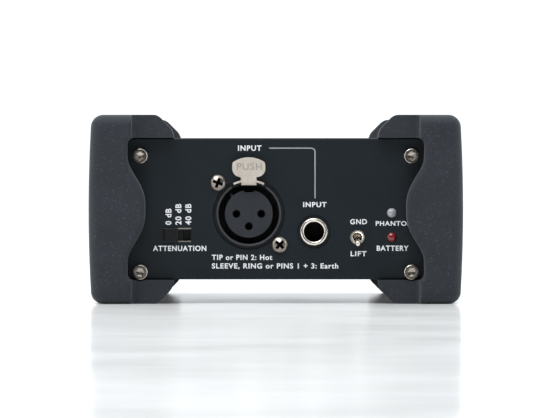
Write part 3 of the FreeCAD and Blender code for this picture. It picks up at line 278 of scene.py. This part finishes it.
# Painted shade on both screw metals: in the recesses, and as a painted dark reflection on the caps'
# flat faces.
for screw_metal in (AGED, AGED_IN_PAINTED_SHADE):
    add_painted_shade(screw_metal)
    print("soot added to:", screw_metal.name)

# %% [markdown]
# ## Moulded plastics
#
# The connector shells and the knobs are glass-filled nylon: black, with a dull eroded skin. The
# socket's insert is the same in charcoal, and a little rougher.

# %% Plastics
PATCH_GRAINS = 10


def make_plastic(name, dark, light, rough, grain_mm, depth_mm, gloss=0.5):
    finish, tree, shader = new_finish(name, light, roughness=rough[0])
    place = place_on_object(tree)
    cloud = noise(tree, place, grain_mm * PATCH_GRAINS, detail=3.0)
    tree.links.new(ramp(tree, cloud, [(0.3, dark), (0.7, light)]), shader.inputs["Base Color"])
    grain = noise(tree, place, grain_mm)
    tree.links.new(spread(tree, grain, *rough), shader.inputs["Roughness"])
    add_bump(tree, shader, grain, strength=0.35, depth_mm=depth_mm)
    shader.inputs["Specular IOR Level"].default_value = gloss
    return finish


SHELL = make_plastic("shell_nylon", (0.006, 0.0068, 0.0078), (0.009, 0.0098, 0.0115),
                     rough=(0.34, 0.48), grain_mm=0.25, depth_mm=0.02, gloss=0.3)
INSERT = make_plastic("insert_nylon", (0.0085, 0.0115, 0.017), (0.012, 0.0155, 0.0215),
                      rough=(0.5, 0.66), grain_mm=0.3, depth_mm=0.03)
KNOB = make_plastic("knob_plastic", (0.004, 0.0045, 0.005), (0.006, 0.0065, 0.0075),
                    rough=(0.26, 0.38), grain_mm=0.2, depth_mm=0.02, gloss=0.4)
BOARD = make_plastic("solder_mask", (0.012, 0.10, 0.04), (0.02, 0.16, 0.07),
                     rough=(0.25, 0.4), grain_mm=0.6, depth_mm=0.02)
TAPE = make_plastic("winding_tape", (0.45, 0.30, 0.05), (0.55, 0.40, 0.08),
                    rough=(0.3, 0.45), grain_mm=0.8, depth_mm=0.03)
CAN = make_plastic("can_sleeve", (0.02, 0.025, 0.06), (0.03, 0.04, 0.09),
                   rough=(0.3, 0.45), grain_mm=0.5, depth_mm=0.02)
FILM = make_plastic("dipped_resin", (0.35, 0.04, 0.03), (0.45, 0.06, 0.04),
                    rough=(0.25, 0.4), grain_mm=0.8, depth_mm=0.04)
BEAD = make_plastic("resistor_lacquer", (0.15, 0.30, 0.42), (0.20, 0.38, 0.52),
                    rough=(0.35, 0.5), grain_mm=0.4, depth_mm=0.02)
CELL = make_plastic("battery_case", (0.04, 0.04, 0.05), (0.07, 0.07, 0.08),
                    rough=(0.25, 0.4), grain_mm=0.6, depth_mm=0.02)
PLASTICS = (SHELL, INSERT, KNOB, BOARD, TAPE, CAN, FILM, BEAD, CELL)
print("made plastics:", [plastic.name for plastic in PLASTICS])

# %% [markdown]
# ## Connector shells with a painted highlight on the rim
#
# A highlight is painted onto the rim of each connector as a pale colour. The rim is the only face
# of the shell that stands proud of the panel, so the distance from the panel tells where it is, and
# a narrow step blends the two colours.

# %% Shells with a painted rim highlight
RIM_START = 0.04
RIM_END = 0.2


def make_shell_with_painted_rim_highlight(name, side):
    finish, tree, shader = new_finish(name, (0.008, 0.009, 0.01), roughness=0.4)
    place = place_on_object(tree)
    split = tree.nodes.new("ShaderNodeSeparateXYZ")
    tree.links.new(place, split.inputs["Vector"])
    start = side * (abs(FACE_Y) + RIM_START * MM)
    end = side * (abs(FACE_Y) + RIM_END * MM)
    rim = spread(tree, split.outputs["Y"], 0, 1, start, end)
    # The rim's pale colour is a painted highlight; the rest of the shell is plain black.
    color = ramp(tree, rim, [(0.0, (0.007, 0.0078, 0.009)), (1.0, (0.042, 0.045, 0.05))])
    tree.links.new(color, shader.inputs["Base Color"])
    grain = noise(tree, place, size_mm=0.25)
    tree.links.new(spread(tree, grain, low=0.3, high=0.46), shader.inputs["Roughness"])
    add_bump(tree, shader, grain, strength=0.35, depth_mm=0.02)
    shader.inputs["Specular IOR Level"].default_value = 0.35
    return finish


FRONT_SHELL = make_shell_with_painted_rim_highlight("front_shell_painted_rim_highlight", -1)
REAR_SHELL = make_shell_with_painted_rim_highlight("rear_shell_painted_rim_highlight", 1)
print("made shells:", FRONT_SHELL.name, REAR_SHELL.name)

# %% [markdown]
# ## Lamp lenses
#
# A lamp is a block of clear or tinted resin with a small metal frame in it. Light goes in and
# scatters, so the lens needs some subsurface light as well as a clear gloss on top.

# %% Lamps
SCATTER_DEPTH = 1.2 * MM


def make_lens(name, dark, light, scatter, radius):
    finish, tree, shader = new_finish(name, light, roughness=0.16)
    place = place_on_object(tree)
    cloud = noise(tree, place, size_mm=0.9)
    tree.links.new(ramp(tree, cloud, [(0.35, dark), (0.65, light)]), shader.inputs["Base Color"])
    fine = noise(tree, place, size_mm=0.2, detail=1.0)
    tree.links.new(spread(tree, fine, low=0.1, high=0.24), shader.inputs["Roughness"])
    shader.inputs["Subsurface Weight"].default_value = scatter
    shader.inputs["Subsurface Radius"].default_value = radius
    shader.inputs["Subsurface Scale"].default_value = SCATTER_DEPTH
    shader.inputs["Coat Weight"].default_value = 0.5
    shader.inputs["Coat Roughness"].default_value = 0.06
    return finish


CLEAR_LENS = make_lens("diffused_lens", (0.27, 0.28, 0.29), (0.38, 0.39, 0.41),
                       scatter=0.4, radius=(1, 1, 1))
RED_LENS = make_lens("red_lens", (0.14, 0.006, 0.008), (0.26, 0.012, 0.015),
                     scatter=0.5, radius=(1.0, 0.15, 0.1))
print("made lenses:", CLEAR_LENS.name, RED_LENS.name)

# %% [markdown]
# ## Which part gets which finish
#
# The table names the finish of each part by the start of its name. The first match wins, so the
# special cases come before the families they belong to.

# %% Assign finishes
FINISH_OF = [
    ("bumper_", RUBBER),
    ("housing_sleeve", COAT),
    ("front_panel_screws", NICKEL),
    ("rear_panel_screws", NICKEL),
    ("front_panel", COAT),
    ("rear_panel", COAT),
    ("front_lock_washers", STEEL),
    ("rear_lock_washers", STEEL),
    ("input_xlr_latch_pin", STEEL),
    ("input_xlr_latch_spring", STEEL),
    ("input_xlr_latch", STAMPED),
    ("input_xlr_screws", NICKEL),
    ("output_xlr_screws", NICKEL),
    ("input_xlr_shell", FRONT_SHELL),
    ("output_xlr_shell", REAR_SHELL),
    ("input_xlr_insert", INSERT),
    ("output_xlr_insert", SHELL),
    # Contacts deep in their holes take painted shade over their gilt metal.
    ("input_xlr_contacts", CONTACT_IN_PAINTED_SHADE),
    ("output_xlr_pins", GILT),
    ("input_jack_ferrule", NICKEL),
    ("link_jack_ferrule", NICKEL),
    # The jacks' contacts also take painted shade over their gilt metal.
    ("input_jack_contacts", CONTACT_IN_PAINTED_SHADE),
    ("link_jack_contacts", CONTACT_IN_PAINTED_SHADE),
    ("input_jack_body", SHELL),
    ("link_jack_body", SHELL),
    ("attenuator_switch_frame", NICKEL),
    ("attenuator_knob", KNOB),
    ("attenuator_terminals", GILT),
    ("attenuator_switch_base", SHELL),
    ("lift_switch_bushing", NICKEL),
    ("lift_switch_lever", NICKEL),
    ("lift_switch_terminals", GILT),
    ("lift_switch_body", SHELL),
    ("led_leads", GILT),
    ("phantom_led", CLEAR_LENS),
    ("battery_led", RED_LENS),
    ("battery_drawer", SHELL),
    ("battery_bay", SHELL),
    ("battery_studs", GILT),
    ("battery_contacts", GILT),
    ("battery", CELL),
    ("circuit_board", BOARD),
    ("transformer_core", LAMINATION),
    ("transformer_winding", TAPE),
    ("transformer_bobbin", SHELL),
    ("transformer_pins", GILT),
    ("electrolytic_capacitors", CAN),
    ("film_capacitors", FILM),
    ("op_amp_chips", SHELL),
    ("op_amp_pins", GILT),
    ("resistors", BEAD),
]


def coat_part(part, finish):
    part.data.materials.clear()
    part.data.materials.append(finish)


for name, part in nodes.items():
    chosen = next(finish for start, finish in FINISH_OF if name.startswith(start))
    coat_part(part, chosen)
print("finished parts:", len(nodes))

# %% [markdown]
# ## Printed lettering
#
# The legends are screen printed: a film of white ink a few hundredths of a millimetre thick. A
# text curve in Blender's built-in face gives the letter shapes. Its strokes are widened, it is
# turned into a mesh, and it is scaled so that its capitals have the printed height and the word
# its printed width. A capital H is measured for the height, because a face's own size takes in more
# than its capitals. All words name plain functions.

# %% Ink
def make_ink():
    finish, tree, shader = new_finish("white_ink", (0.78, 0.79, 0.80), roughness=0.5)
    cover = noise(tree, place_on_object(tree), size_mm=0.3)
    color = ramp(tree, cover, [(0.25, (0.70, 0.71, 0.73)), (0.6, (0.84, 0.85, 0.86))])
    tree.links.new(color, shader.inputs["Base Color"])
    tree.links.new(spread(tree, cover, low=0.42, high=0.6), shader.inputs["Roughness"])
    add_bump(tree, shader, cover, strength=0.2, depth_mm=0.01)
    return finish


INK = make_ink()
INK_FILM = 0.03 * MM
print("made finish:", INK.name)

# %% Letters as meshes
WEIGHT = 0.026
LETTER_SPACE = 1.15
CURVE_STEPS = 6


def mesh_box(mesh):
    xs = [v.co.x for v in mesh.vertices]
    ys = [v.co.y for v in mesh.vertices]
    return min(xs), max(xs), min(ys), max(ys)


def letter_mesh(text, weight):
    """Text one unit high, half a unit thick to both sides, its strokes widened by the weight."""
    curve = bpy.data.curves.new(text, "FONT")
    curve.body = text
    curve.space_character = LETTER_SPACE
    curve.size = 1.0
    curve.offset = weight
    curve.extrude = 0.5
    curve.resolution_u = CURVE_STEPS
    temp = bpy.data.objects.new(text, curve)
    bpy.context.scene.collection.objects.link(temp)
    graph = bpy.context.evaluated_depsgraph_get()
    mesh = bpy.data.meshes.new_from_object(temp.evaluated_get(graph))
    bpy.data.objects.remove(temp)
    return mesh


print("letters: strokes widened by", WEIGHT, "of the height of the type")

# %% Words on the panel
def print_word(name, text, left, bottom, width, height, weight=WEIGHT, film=INK_FILM,
               upright=False):
    """A printed word with its lower left corner at (left, bottom) in mm from the middle of the
    panel's foot line, width along the reading direction and height of the capitals."""
    mesh = letter_mesh(text, weight)
    x0, x1, y0, y1 = mesh_box(mesh)
    foot, cap_top = mesh_box(letter_mesh("H", weight))[2:]
    cap = cap_top - foot
    fit = Matrix.Diagonal((width * MM / (x1 - x0), height * MM / cap, film, 1))
    mesh.transform(fit @ Matrix.Translation((-x0, -foot, 0)))
    stand = Matrix.Rotation(math.radians(90), 4, "X")
    if upright:
        stand = stand @ Matrix.Rotation(math.radians(90), 4, "Z")
    mesh.transform(stand)
    mesh.transform(Matrix.Translation((left * MM, FACE_Y - film / 2, bottom * MM)))
    word = bpy.data.objects.new(name, mesh)
    bpy.context.scene.collection.objects.link(word)
    coat_part(word, INK)
    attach(word, "housing")
    return word


# Name, text, left and bottom edge, width and height of the capitals in mm, and whether it stands.
WORDS = [
    ("print_input_socket", "INPUT", -12.6, 50.85, 7.8, 1.8, False),
    ("print_input_jack", "INPUT", 9.1, 32.1, 7.8, 1.7, False),
    ("print_ground", "GND", 24.75, 26.4, 5.6, 1.7, False),
    ("print_lift", "LIFT", 24.9, 15.75, 5.3, 1.7, False),
    ("print_phantom", "PHANTOM", 33.25, 25.9, 12.2, 1.55, False),
    ("print_battery", "BATTERY", 33.6, 17.55, 10.6, 1.75, False),
    ("print_attenuation", "ATTENUATION", -40.9, 17.5, 17.75, 1.75, False),
    ("print_pad_0", "0 dB", -34.75, 26.2, 5.4, 2.0, True),
    ("print_pad_20", "20 dB", -31.45, 26.2, 7.0, 2.0, True),
    ("print_pad_40", "40 dB", -28.15, 26.2, 7.0, 2.0, True),
    ("print_wiring_signal", "TIP or PIN 2: Hot", -21.3, 14.5, 20.1, 1.75, False),
    ("print_wiring_ground", "SLEEVE, RING or PINS 1 + 3: Earth", -21.3, 11.65, 42.1, 1.75, False),
]
for name, text, left, bottom, width, height, upright in WORDS:
    word = print_word(name, text, left, bottom, width, height, upright=upright)
    print(name, "faces:", len(word.data.polygons))

# %% [markdown]
# ## The printed rule between the two inputs
#
# A thin grey rule ties the two inputs' legends together. It runs level, turns a rounded corner
# and drops to the jack. A closed strip follows that path, built from its centre line.

# %% Rule
RULE_START = Vector((-2.2, 51.75))
RULE_CORNER = Vector((13.05, 51.75))
RULE_END = Vector((13.05, 35.0))
RULE_WIDTH = 0.38
RULE_BEND = 1.3
BEND_STEPS = 8


def rule_path():
    points = [RULE_START]
    centre = RULE_CORNER + Vector((-RULE_BEND, -RULE_BEND))
    for step in range(BEND_STEPS + 1):
        angle = math.radians(90 - 90 * step / BEND_STEPS)
        points.append(centre + RULE_BEND * Vector((math.cos(angle), math.sin(angle))))
    points.append(RULE_END)
    return points


def make_rule():
    points = rule_path()
    shape = bmesh.new()
    rows = []
    for index, point in enumerate(points):
        before = points[max(index - 1, 0)]
        after = points[min(index + 1, len(points) - 1)]
        run = (after - before).normalized()
        across = Vector((-run.y, run.x)) * RULE_WIDTH / 2
        row = []
        for side in (1, -1):
            spot = point + across * side
            for depth in (0.0, INK_FILM):
                row.append(shape.verts.new((spot.x * MM, FACE_Y - depth, spot.y * MM)))
        rows.append(row)
    for a, b in zip(rows, rows[1:]):
        shape.faces.new((a[1], b[1], b[3], a[3]))
        shape.faces.new((a[0], a[2], b[2], b[0]))
        shape.faces.new((a[0], b[0], b[1], a[1]))
        shape.faces.new((a[2], a[3], b[3], b[2]))
    for row in (rows[0], rows[-1]):
        shape.faces.new((row[0], row[1], row[3], row[2]))
    bmesh.ops.recalc_face_normals(shape, faces=shape.faces)
    mesh = bpy.data.meshes.new("print_rule")
    shape.to_mesh(mesh)
    shape.free()
    rule = bpy.data.objects.new("print_rule", mesh)
    bpy.context.scene.collection.objects.link(rule)
    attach(rule, "housing")
    return rule


def make_grey_ink():
    finish, tree, shader = new_finish("grey_ink", (0.35, 0.36, 0.37), roughness=0.5)
    cover = noise(tree, place_on_object(tree), size_mm=0.3)
    color = ramp(tree, cover, [(0.25, (0.27, 0.28, 0.29)), (0.6, (0.36, 0.37, 0.38))])
    tree.links.new(color, shader.inputs["Base Color"])
    add_bump(tree, shader, cover, strength=0.2, depth_mm=0.01)
    return finish


rule = make_rule()
coat_part(rule, make_grey_ink())
print("rule faces:", len(rule.data.polygons))

# %% [markdown]
# ## Screws with their small forms
#
# The design keeps its screws plain, so this step makes the real ones. A screw is a skin through
# rings of points round its axis: the radius of a ring may change with the angle. That one idea
# gives the hexagon of a socket, the four arms of a cross recess, the fine ribs round a cap head
# and the climbing thread on the shank.

# %% Turned pieces
RINGS_PER_TURN = 4
SHARP_DEGREES = 28


def join_rings(shape, first, second):
    """A band of faces between two rings that have the same number of points."""
    count = len(first)
    for i in range(count):
        j = (i + 1) % count
        shape.faces.new((first[i], first[j], second[j], second[i]))


def ring_skin(shape, rings, steps, place):
    """Adds a closed skin through rings, each (radius by angle, depth by radius) and, where shade is
    painted, how much painted shade it holds."""
    layer = shape.verts.layers.float.get("painted_shade") or shape.verts.layers.float.new("painted_shade")
    rows = []
    for radius, depth, *painted_shade in rings:
        row = []
        for step in range(steps):
            angle = 2 * math.pi * step / steps
            r = radius(angle)
            local = Vector((r * math.cos(angle), depth(r, angle), r * math.sin(angle)))
            row.append(shape.verts.new(place @ (local * MM)))
            row[-1][layer] = sum(painted_shade)
        rows.append(row)
    for first, second in zip(rows, rows[1:]):
        join_rings(shape, first, second)
    for row in (rows[0], rows[-1]):
        middle = sum((v.co for v in row), Vector()) / steps
        tip = shape.verts.new(middle)
        tip[layer] = row[0][layer]
        for i in range(steps):
            shape.faces.new((row[i], row[(i + 1) % steps], tip))


def level(value):
    """A radius or depth that is the same all round."""
    return lambda *place: value


def thread_rings(radius, start, end, pitch, height):
    """Rings of a shank whose crest climbs one pitch per turn."""
    count = int((end - start) / pitch * RINGS_PER_TURN)

    def crest(y):
        def at(angle):
            turn = (y / pitch + angle / (2 * math.pi)) % 1
            return radius - height * abs(turn * 2 - 1)
        return at

    rings = []
    for i in range(count + 1):
        y = start + (end - start) * i / count
        rings.append((crest(y), level(y)))
    return rings


def turned_object(name, shape, finish, body, node):
    bmesh.ops.recalc_face_normals(shape, faces=shape.faces)
    mesh = bpy.data.meshes.new(name)
    shape.to_mesh(mesh)
    shape.free()
    mesh.shade_smooth()
    mesh.set_sharp_from_angle(angle=math.radians(SHARP_DEGREES))
    piece = bpy.data.objects.new(name, mesh)
    bpy.context.scene.collection.objects.link(piece)
    coat_part(piece, finish)
    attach(piece, body)
    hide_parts(node)
    print(name, "faces:", len(mesh.polygons))


def spot_matrix(x, y, z, side, spin):
    """Place of a screw whose axis points into the panel, turned by spin degrees."""
    turn = Matrix.Rotation(math.radians(0 if side < 0 else 180), 4, "Z")
    return Matrix.Translation((x, y, z)) @ turn @ Matrix.Rotation(math.radians(spin), 4, "Y")


# %% [markdown]
# ## Corner screws: ribbed socket caps
#
# The cap is 5 mm across, with forty fine ribs for the fingers, a bevelled front rim and a hexagon
# socket. A dark reflection is painted onto the flat face and a little shade into the socket's
# mouth, and the bevel shines as a thin ring. The last number of some rings is how much of that
# painted shade they hold. Each screw stops at another angle, as screws do.

# %% Cap screws
CAP_RADIUS = 2.5
CAP_FRONT = -3.8
CAP_SEAT = -0.8
CAP_BEVEL = 0.3
CAP_RIBS = 40
RIB_HALF_HEIGHT = 0.06
SOCKET_HALF = 1.3
SOCKET_DEPTH = 1.6
SOCKET_POINT = 0.35
SOCKET_LEAD_IN = 0.12
CAP_STEPS = 240
FIRST_TURN = 11
TURN_BETWEEN = 23


def ribbed(angle):
    return CAP_RADIUS - RIB_HALF_HEIGHT * (1 - math.cos(CAP_RIBS * angle))


def hexagon(half):
    return lambda angle: half / math.cos((angle % (math.pi / 3)) - math.pi / 6)


def cap_rings():
    return [
        (hexagon(SOCKET_HALF * 0.25), level(CAP_FRONT + SOCKET_DEPTH + SOCKET_POINT)),
        (hexagon(SOCKET_HALF * 0.94), level(CAP_FRONT + SOCKET_DEPTH)),
        (hexagon(SOCKET_HALF), level(CAP_FRONT + SOCKET_LEAD_IN)),
        # The last numbers: painted shade at the socket's mouth, and a painted dark reflection on
        # the flat face.
        (hexagon(SOCKET_HALF + SOCKET_LEAD_IN), level(CAP_FRONT), 0.2),
        (level(CAP_RADIUS - CAP_BEVEL - 0.1), level(CAP_FRONT), 0.85),
        (level(CAP_RADIUS - CAP_BEVEL), level(CAP_FRONT)),
        (level(CAP_RADIUS - 0.08), level(CAP_FRONT + CAP_BEVEL * 0.6)),
        (ribbed, level(CAP_FRONT + CAP_BEVEL + 0.1)),
        (ribbed, level(CAP_SEAT - 0.15)),
        (level(CAP_RADIUS - 0.2), level(CAP_SEAT)),
    ] + thread_rings(radius=1.45, start=CAP_SEAT, end=9.2, pitch=0.8, height=0.12)


def make_cap_screws(node, side):
    low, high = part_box(node)
    inset = CAP_RADIUS * MM
    shape = bmesh.new()
    turn = FIRST_TURN
    for x in (low.x + inset, high.x - inset):
        for z in (low.z + inset, high.z - inset):
            spot = spot_matrix(x, side * abs(FACE_Y), z, side, turn)
            ring_skin(shape, cap_rings(), CAP_STEPS, spot)
            turn += TURN_BETWEEN
    turned_object("ribbed_" + node, shape, AGED, "housing", node)


make_cap_screws("front_panel_screws", -1)
make_cap_screws("rear_panel_screws", 1)

# %% [markdown]
# ## Jack ferrules: rounded rings
#
# A ferrule is a tube with a rolled front. Seen from the front its ring is bright above and below,
# where it mirrors the lamp and the floor, and dark at its sides. The profile is a closed loop of
# radius and depth: an arc for the rolled front, and straight walls behind it.

# %% Ferrules
BORE_RADIUS = 3.285
FERRULE_RADIUS = 4.6
FERRULE_PROUD = 0.9
FERRULE_LENGTH = 9.5
ROLL_DEPTH = 0.55
ROLL_STEPS = 12
FERRULE_STEPS = 96


def ferrule_profile():
    middle = (BORE_RADIUS + FERRULE_RADIUS) / 2
    half = (FERRULE_RADIUS - BORE_RADIUS) / 2
    profile = []
    for step in range(ROLL_STEPS + 1):
        angle = math.pi * step / ROLL_STEPS
        rise = ROLL_DEPTH * math.sin(angle)
        profile.append((middle - half * math.cos(angle), ROLL_DEPTH - FERRULE_PROUD - rise))
    return profile + [(FERRULE_RADIUS, FERRULE_LENGTH), (BORE_RADIUS, FERRULE_LENGTH)]


def make_ferrule(node, side):
    low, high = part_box(node)
    place = spot_matrix((low.x + high.x) / 2, side * abs(FACE_Y), (low.z + high.z) / 2, side, 0)
    shape = bmesh.new()
    rows = []
    for radius, depth in ferrule_profile():
        row = []
        for step in range(FERRULE_STEPS):
            angle = 2 * math.pi * step / FERRULE_STEPS
            local = Vector((radius * math.cos(angle), depth, radius * math.sin(angle)))
            row.append(shape.verts.new(place @ (local * MM)))
        rows.append(row)
    for first, second in zip(rows, rows[1:] + rows[:1]):
        join_rings(shape, first, second)
    turned_object("rolled_" + node, shape, NICKEL, "housing", node)


make_ferrule("input_jack_ferrule", -1)
make_ferrule("link_jack_ferrule", 1)

# %% [markdown]
# ## Connector screws: pan heads with a cross recess
#
# The recess is a cross that narrows towards its bottom. Its outline is the nearer of two lines: an
# arm's end, or the arm's side, where it meets the next arm. Shade is painted into it, so it reads
# as black from any side, and the domed head round it is a copy of the screws' nickel painted darker
# as shade.

# %% Cross-recess screws
PAN_RADIUS = 2.75
PAN_HEIGHT = 1.9
PAN_SIDE = 0.5
CROSS_REACH = 1.75
CROSS_HALF = 0.5
CROSS_DEPTH = 1.5
CROSS_SHALLOW = 0.35
DOME_RADII = (1.85, 2.2, 2.5, 2.68)
PAN_ROUND = 0.05
PAN_STEPS = 192
NEARLY_ZERO = 1e-6


def cross(scale):
    def radius(angle):
        nearest = (angle + math.pi / 4) % (math.pi / 2) - math.pi / 4
        side = CROSS_HALF / max(abs(math.sin(nearest)), NEARLY_ZERO)
        return scale * min(CROSS_REACH / math.cos(nearest), side)
    return radius


def dome(r, angle):
    """Depth of the domed head at a distance r from its middle, the same all round."""
    rise = PAN_HEIGHT - PAN_SIDE
    ball = (PAN_RADIUS ** 2 + rise ** 2) / (2 * rise)
    return ball - PAN_HEIGHT - math.sqrt(ball ** 2 - r ** 2)


def pan_rings():
    return [
        # The last number, 1.0, fills the cross recess with painted shade.
        (cross(0.86), level(CROSS_DEPTH - PAN_HEIGHT), 1.0),
        (cross(0.94), level(CROSS_SHALLOW - PAN_HEIGHT), 1.0),
        (cross(1.0), dome),
        *[(level(radius), dome) for radius in DOME_RADII],
        (level(PAN_RADIUS), level(-PAN_SIDE + PAN_ROUND)),
        (level(PAN_RADIUS), level(0)),
    ] + thread_rings(radius=1.3, start=0, end=7.0, pitch=0.6, height=0.1)


def make_pan_screws(node, side, turns):
    low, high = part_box(node)
    inset = PAN_RADIUS * MM
    shape = bmesh.new()
    first = (low.x + inset, high.z - inset)
    second = (high.x - inset, low.z + inset)
    if side > 0:
        first = (high.x - inset, high.z - inset)
        second = (low.x + inset, low.z + inset)
    for (x, z), turn in zip((first, second), turns):
        spot = spot_matrix(x, side * abs(FACE_Y), z, side, turn)
        ring_skin(shape, pan_rings(), PAN_STEPS, spot)
    turned_object("cross_" + node, shape, AGED_IN_PAINTED_SHADE, "housing", node)


make_pan_screws("input_xlr_screws", -1, (20, 42))
make_pan_screws("output_xlr_screws", 1, (65, 8))

# %% [markdown]
# ## The latch: a stamped tab
#
# The tab is cut from sheet, so its edges are slightly rounded over, and the word on it is pressed
# up from the metal. A small bevel makes the rounded edges, on the tab and on the slider's knob. The
# word is a low relief that rides on the latch's body, so that it moves with the tab. Its metal is a
# copy of the tab's painted darker: painted shade that stands in for the shading along the letters,
# or the word would be lost on the tab.

# %% Latch relief
RELIEF_HEIGHT = 0.12 * MM
RELIEF_WEIGHT = 0.01
WORD_INSET = 1.5
WORD_DROP = 4.2
WORD_WIDTH = 8.4
WORD_HEIGHT = 2.2

latch_low, latch_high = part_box("input_xlr_latch")
relief = print_word("latch_word", "PUSH", latch_low.x / MM + WORD_INSET,
                    latch_high.z / MM - WORD_DROP, WORD_WIDTH, WORD_HEIGHT,
                    weight=RELIEF_WEIGHT, film=RELIEF_HEIGHT)
relief.data.transform(Matrix.Translation((0, latch_low.y - FACE_Y, 0)))
# The word's metal is painted darker than the tab's, as painted shade.
coat_part(relief, STAMPED_IN_PAINTED_SHADE)
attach(relief, "xlr_latch")
print("latch relief faces:", len(relief.data.polygons))

# %% Softened edges
def soften(node, width_mm, segments=2, angle=35):
    """Rounds the sharp edges of a part a little."""
    bevel = nodes[node].modifiers.new("soften", "BEVEL")
    bevel.width = width_mm * MM
    bevel.segments = segments
    bevel.limit_method = "ANGLE"
    bevel.angle_limit = math.radians(angle)
    bevel.harden_normals = False
    print("softened:", node)


soften("input_xlr_latch", 0.3, segments=3)
soften("attenuator_knob", 0.1)

# %% [markdown]
# ## Floor
#
# The box stands on a white sheet that is a little glossy, so that a pale reflection hangs under
# the bumpers. The sheet glows very faintly, which lifts its far part to white and leaves the shade
# under the box. It runs far back, but ends soon in front: more of it there would only throw light
# onto the front panel, which should stay dark. All its sizes are in metres.

# %% Floor
SHEET_SIDE = 0.9
SHEET_FRONT = 0.9
SHEET_BACK = 9.0
SHEET_GLOW = 0.05


def make_floor():
    finish, tree, shader = new_finish("white_sheet", (0.84, 0.83, 0.82), roughness=0.16)
    cloud = noise(tree, place_on_object(tree), size_mm=60.0)
    color = ramp(tree, cloud, [(0.3, (0.83, 0.82, 0.81)), (0.7, (0.86, 0.85, 0.84))])
    tree.links.new(color, shader.inputs["Base Color"])
    tree.links.new(spread(tree, cloud, low=0.12, high=0.2), shader.inputs["Roughness"])
    shader.inputs["Specular IOR Level"].default_value = 0.35
    shader.inputs["Emission Color"].default_value = (0.97, 0.985, 1.0, 1.0)
    shader.inputs["Emission Strength"].default_value = SHEET_GLOW
    shape = bmesh.new()
    corners = [shape.verts.new((x, y, 0)) for x, y in
               ((-SHEET_SIDE, -SHEET_FRONT), (SHEET_SIDE, -SHEET_FRONT),
                (SHEET_SIDE, SHEET_BACK), (-SHEET_SIDE, SHEET_BACK))]
    shape.faces.new(corners)
    mesh = bpy.data.meshes.new("floor")
    shape.to_mesh(mesh)
    shape.free()
    floor = bpy.data.objects.new("floor", mesh)
    bpy.context.scene.collection.objects.link(floor)
    coat_part(floor, finish)
    print("floor, from front to back, in m:", SHEET_FRONT + SHEET_BACK)


make_floor()

# %% [markdown]
# ## Light
#
# The room is white behind the box and overhead, and a large lamp hangs over it. The side that the
# front panel looks at is kept dark, so that the socket's holes stay black and the bright metal
# shows dark bands between its highlights. Two narrow lamps at the sides draw the edges. All light
# is slightly blue, as daylight is.

# %% Lights
DAYLIGHT = (0.94, 0.975, 1.0)
LIT_SPOT = (0, 0, 0.03)
SIDE_SIZE = (0.25, 0.7)
SIDE_POWER = 1.3
KEY_SIZE = (0.9, 0.5)
KEY_POWER = 9


def soft_box(name, place, size, power):
    """A rectangular lamp that looks at the box; size in metres, power in watts."""
    light = bpy.data.lights.new(name, "AREA")
    light.shape = "RECTANGLE"
    light.size = size[0]
    light.size_y = size[1]
    light.energy = power
    light.color = DAYLIGHT
    lamp = bpy.data.objects.new(name, light)
    lamp.location = place
    direction = Vector(LIT_SPOT) - Vector(place)
    lamp.rotation_euler = direction.to_track_quat("-Z", "Y").to_euler()
    bpy.context.scene.collection.objects.link(lamp)
    print("lamp:", name, power, "W")


soft_box("key_top", (-0.25, -0.55, 0.95), KEY_SIZE, KEY_POWER)
soft_box("side_left", (-0.95, -0.35, 0.3), SIDE_SIZE, SIDE_POWER)
soft_box("side_right", (0.95, -0.35, 0.3), SIDE_SIZE, SIDE_POWER)

# %% Room
def make_room():
    """A room that is white behind the box and overhead, and dark in front of it."""
    world = bpy.data.worlds.new("studio")
    world.use_nodes = True
    tree = world.node_tree
    coords = tree.nodes.new("ShaderNodeTexCoord")
    parts = tree.nodes.new("ShaderNodeSeparateXYZ")
    tree.links.new(coords.outputs["Generated"], parts.inputs["Vector"])
    back = spread(tree, parts.outputs["Y"], low=0.06, high=1.15, start=-0.55, end=0.45)
    above = spread(tree, parts.outputs["Z"], low=0.0, high=0.9, start=0.35, end=0.9)
    total = tree.nodes.new("ShaderNodeMath")
    total.operation = "ADD"
    tree.links.new(back, total.inputs[0])
    tree.links.new(above, total.inputs[1])
    ground = tree.nodes["Background"]
    ground.inputs["Color"].default_value = (*DAYLIGHT, 1)
    tree.links.new(total.outputs["Value"], ground.inputs["Strength"])
    bpy.context.scene.world = world


make_room()
bpy.context.scene.view_settings.view_transform = "Standard"
print("room:", bpy.context.scene.world.name)

# %% [markdown]
# ## Camera
#
# A long lens looks almost straight at the front panel, from just left of the middle and about two
# thirds of the way up the box.

# %% Camera
CAMERA_DISTANCE = 1.44
CAMERA_X = -4.3 * MM
CAMERA_Z = 40.8 * MM
AIM = Vector((-0.3 * MM, FRONT_Y, 31.53 * MM))
LENS_LENGTH = 284.65
SENSOR_WIDTH = 36.0
FAR_LIMIT = 30.0

camera_data = bpy.data.cameras.new("camera")
camera_data.sensor_width = SENSOR_WIDTH
camera_data.lens = LENS_LENGTH
camera_data.clip_end = FAR_LIMIT
camera = bpy.data.objects.new("camera", camera_data)
camera.location = (CAMERA_X, FRONT_Y - CAMERA_DISTANCE, CAMERA_Z)
camera.rotation_euler = (AIM - camera.location).to_track_quat("-Z", "Y").to_euler()
bpy.context.scene.collection.objects.link(camera)
bpy.context.scene.camera = camera
print("lens:", round(camera_data.lens, 1), "mm")
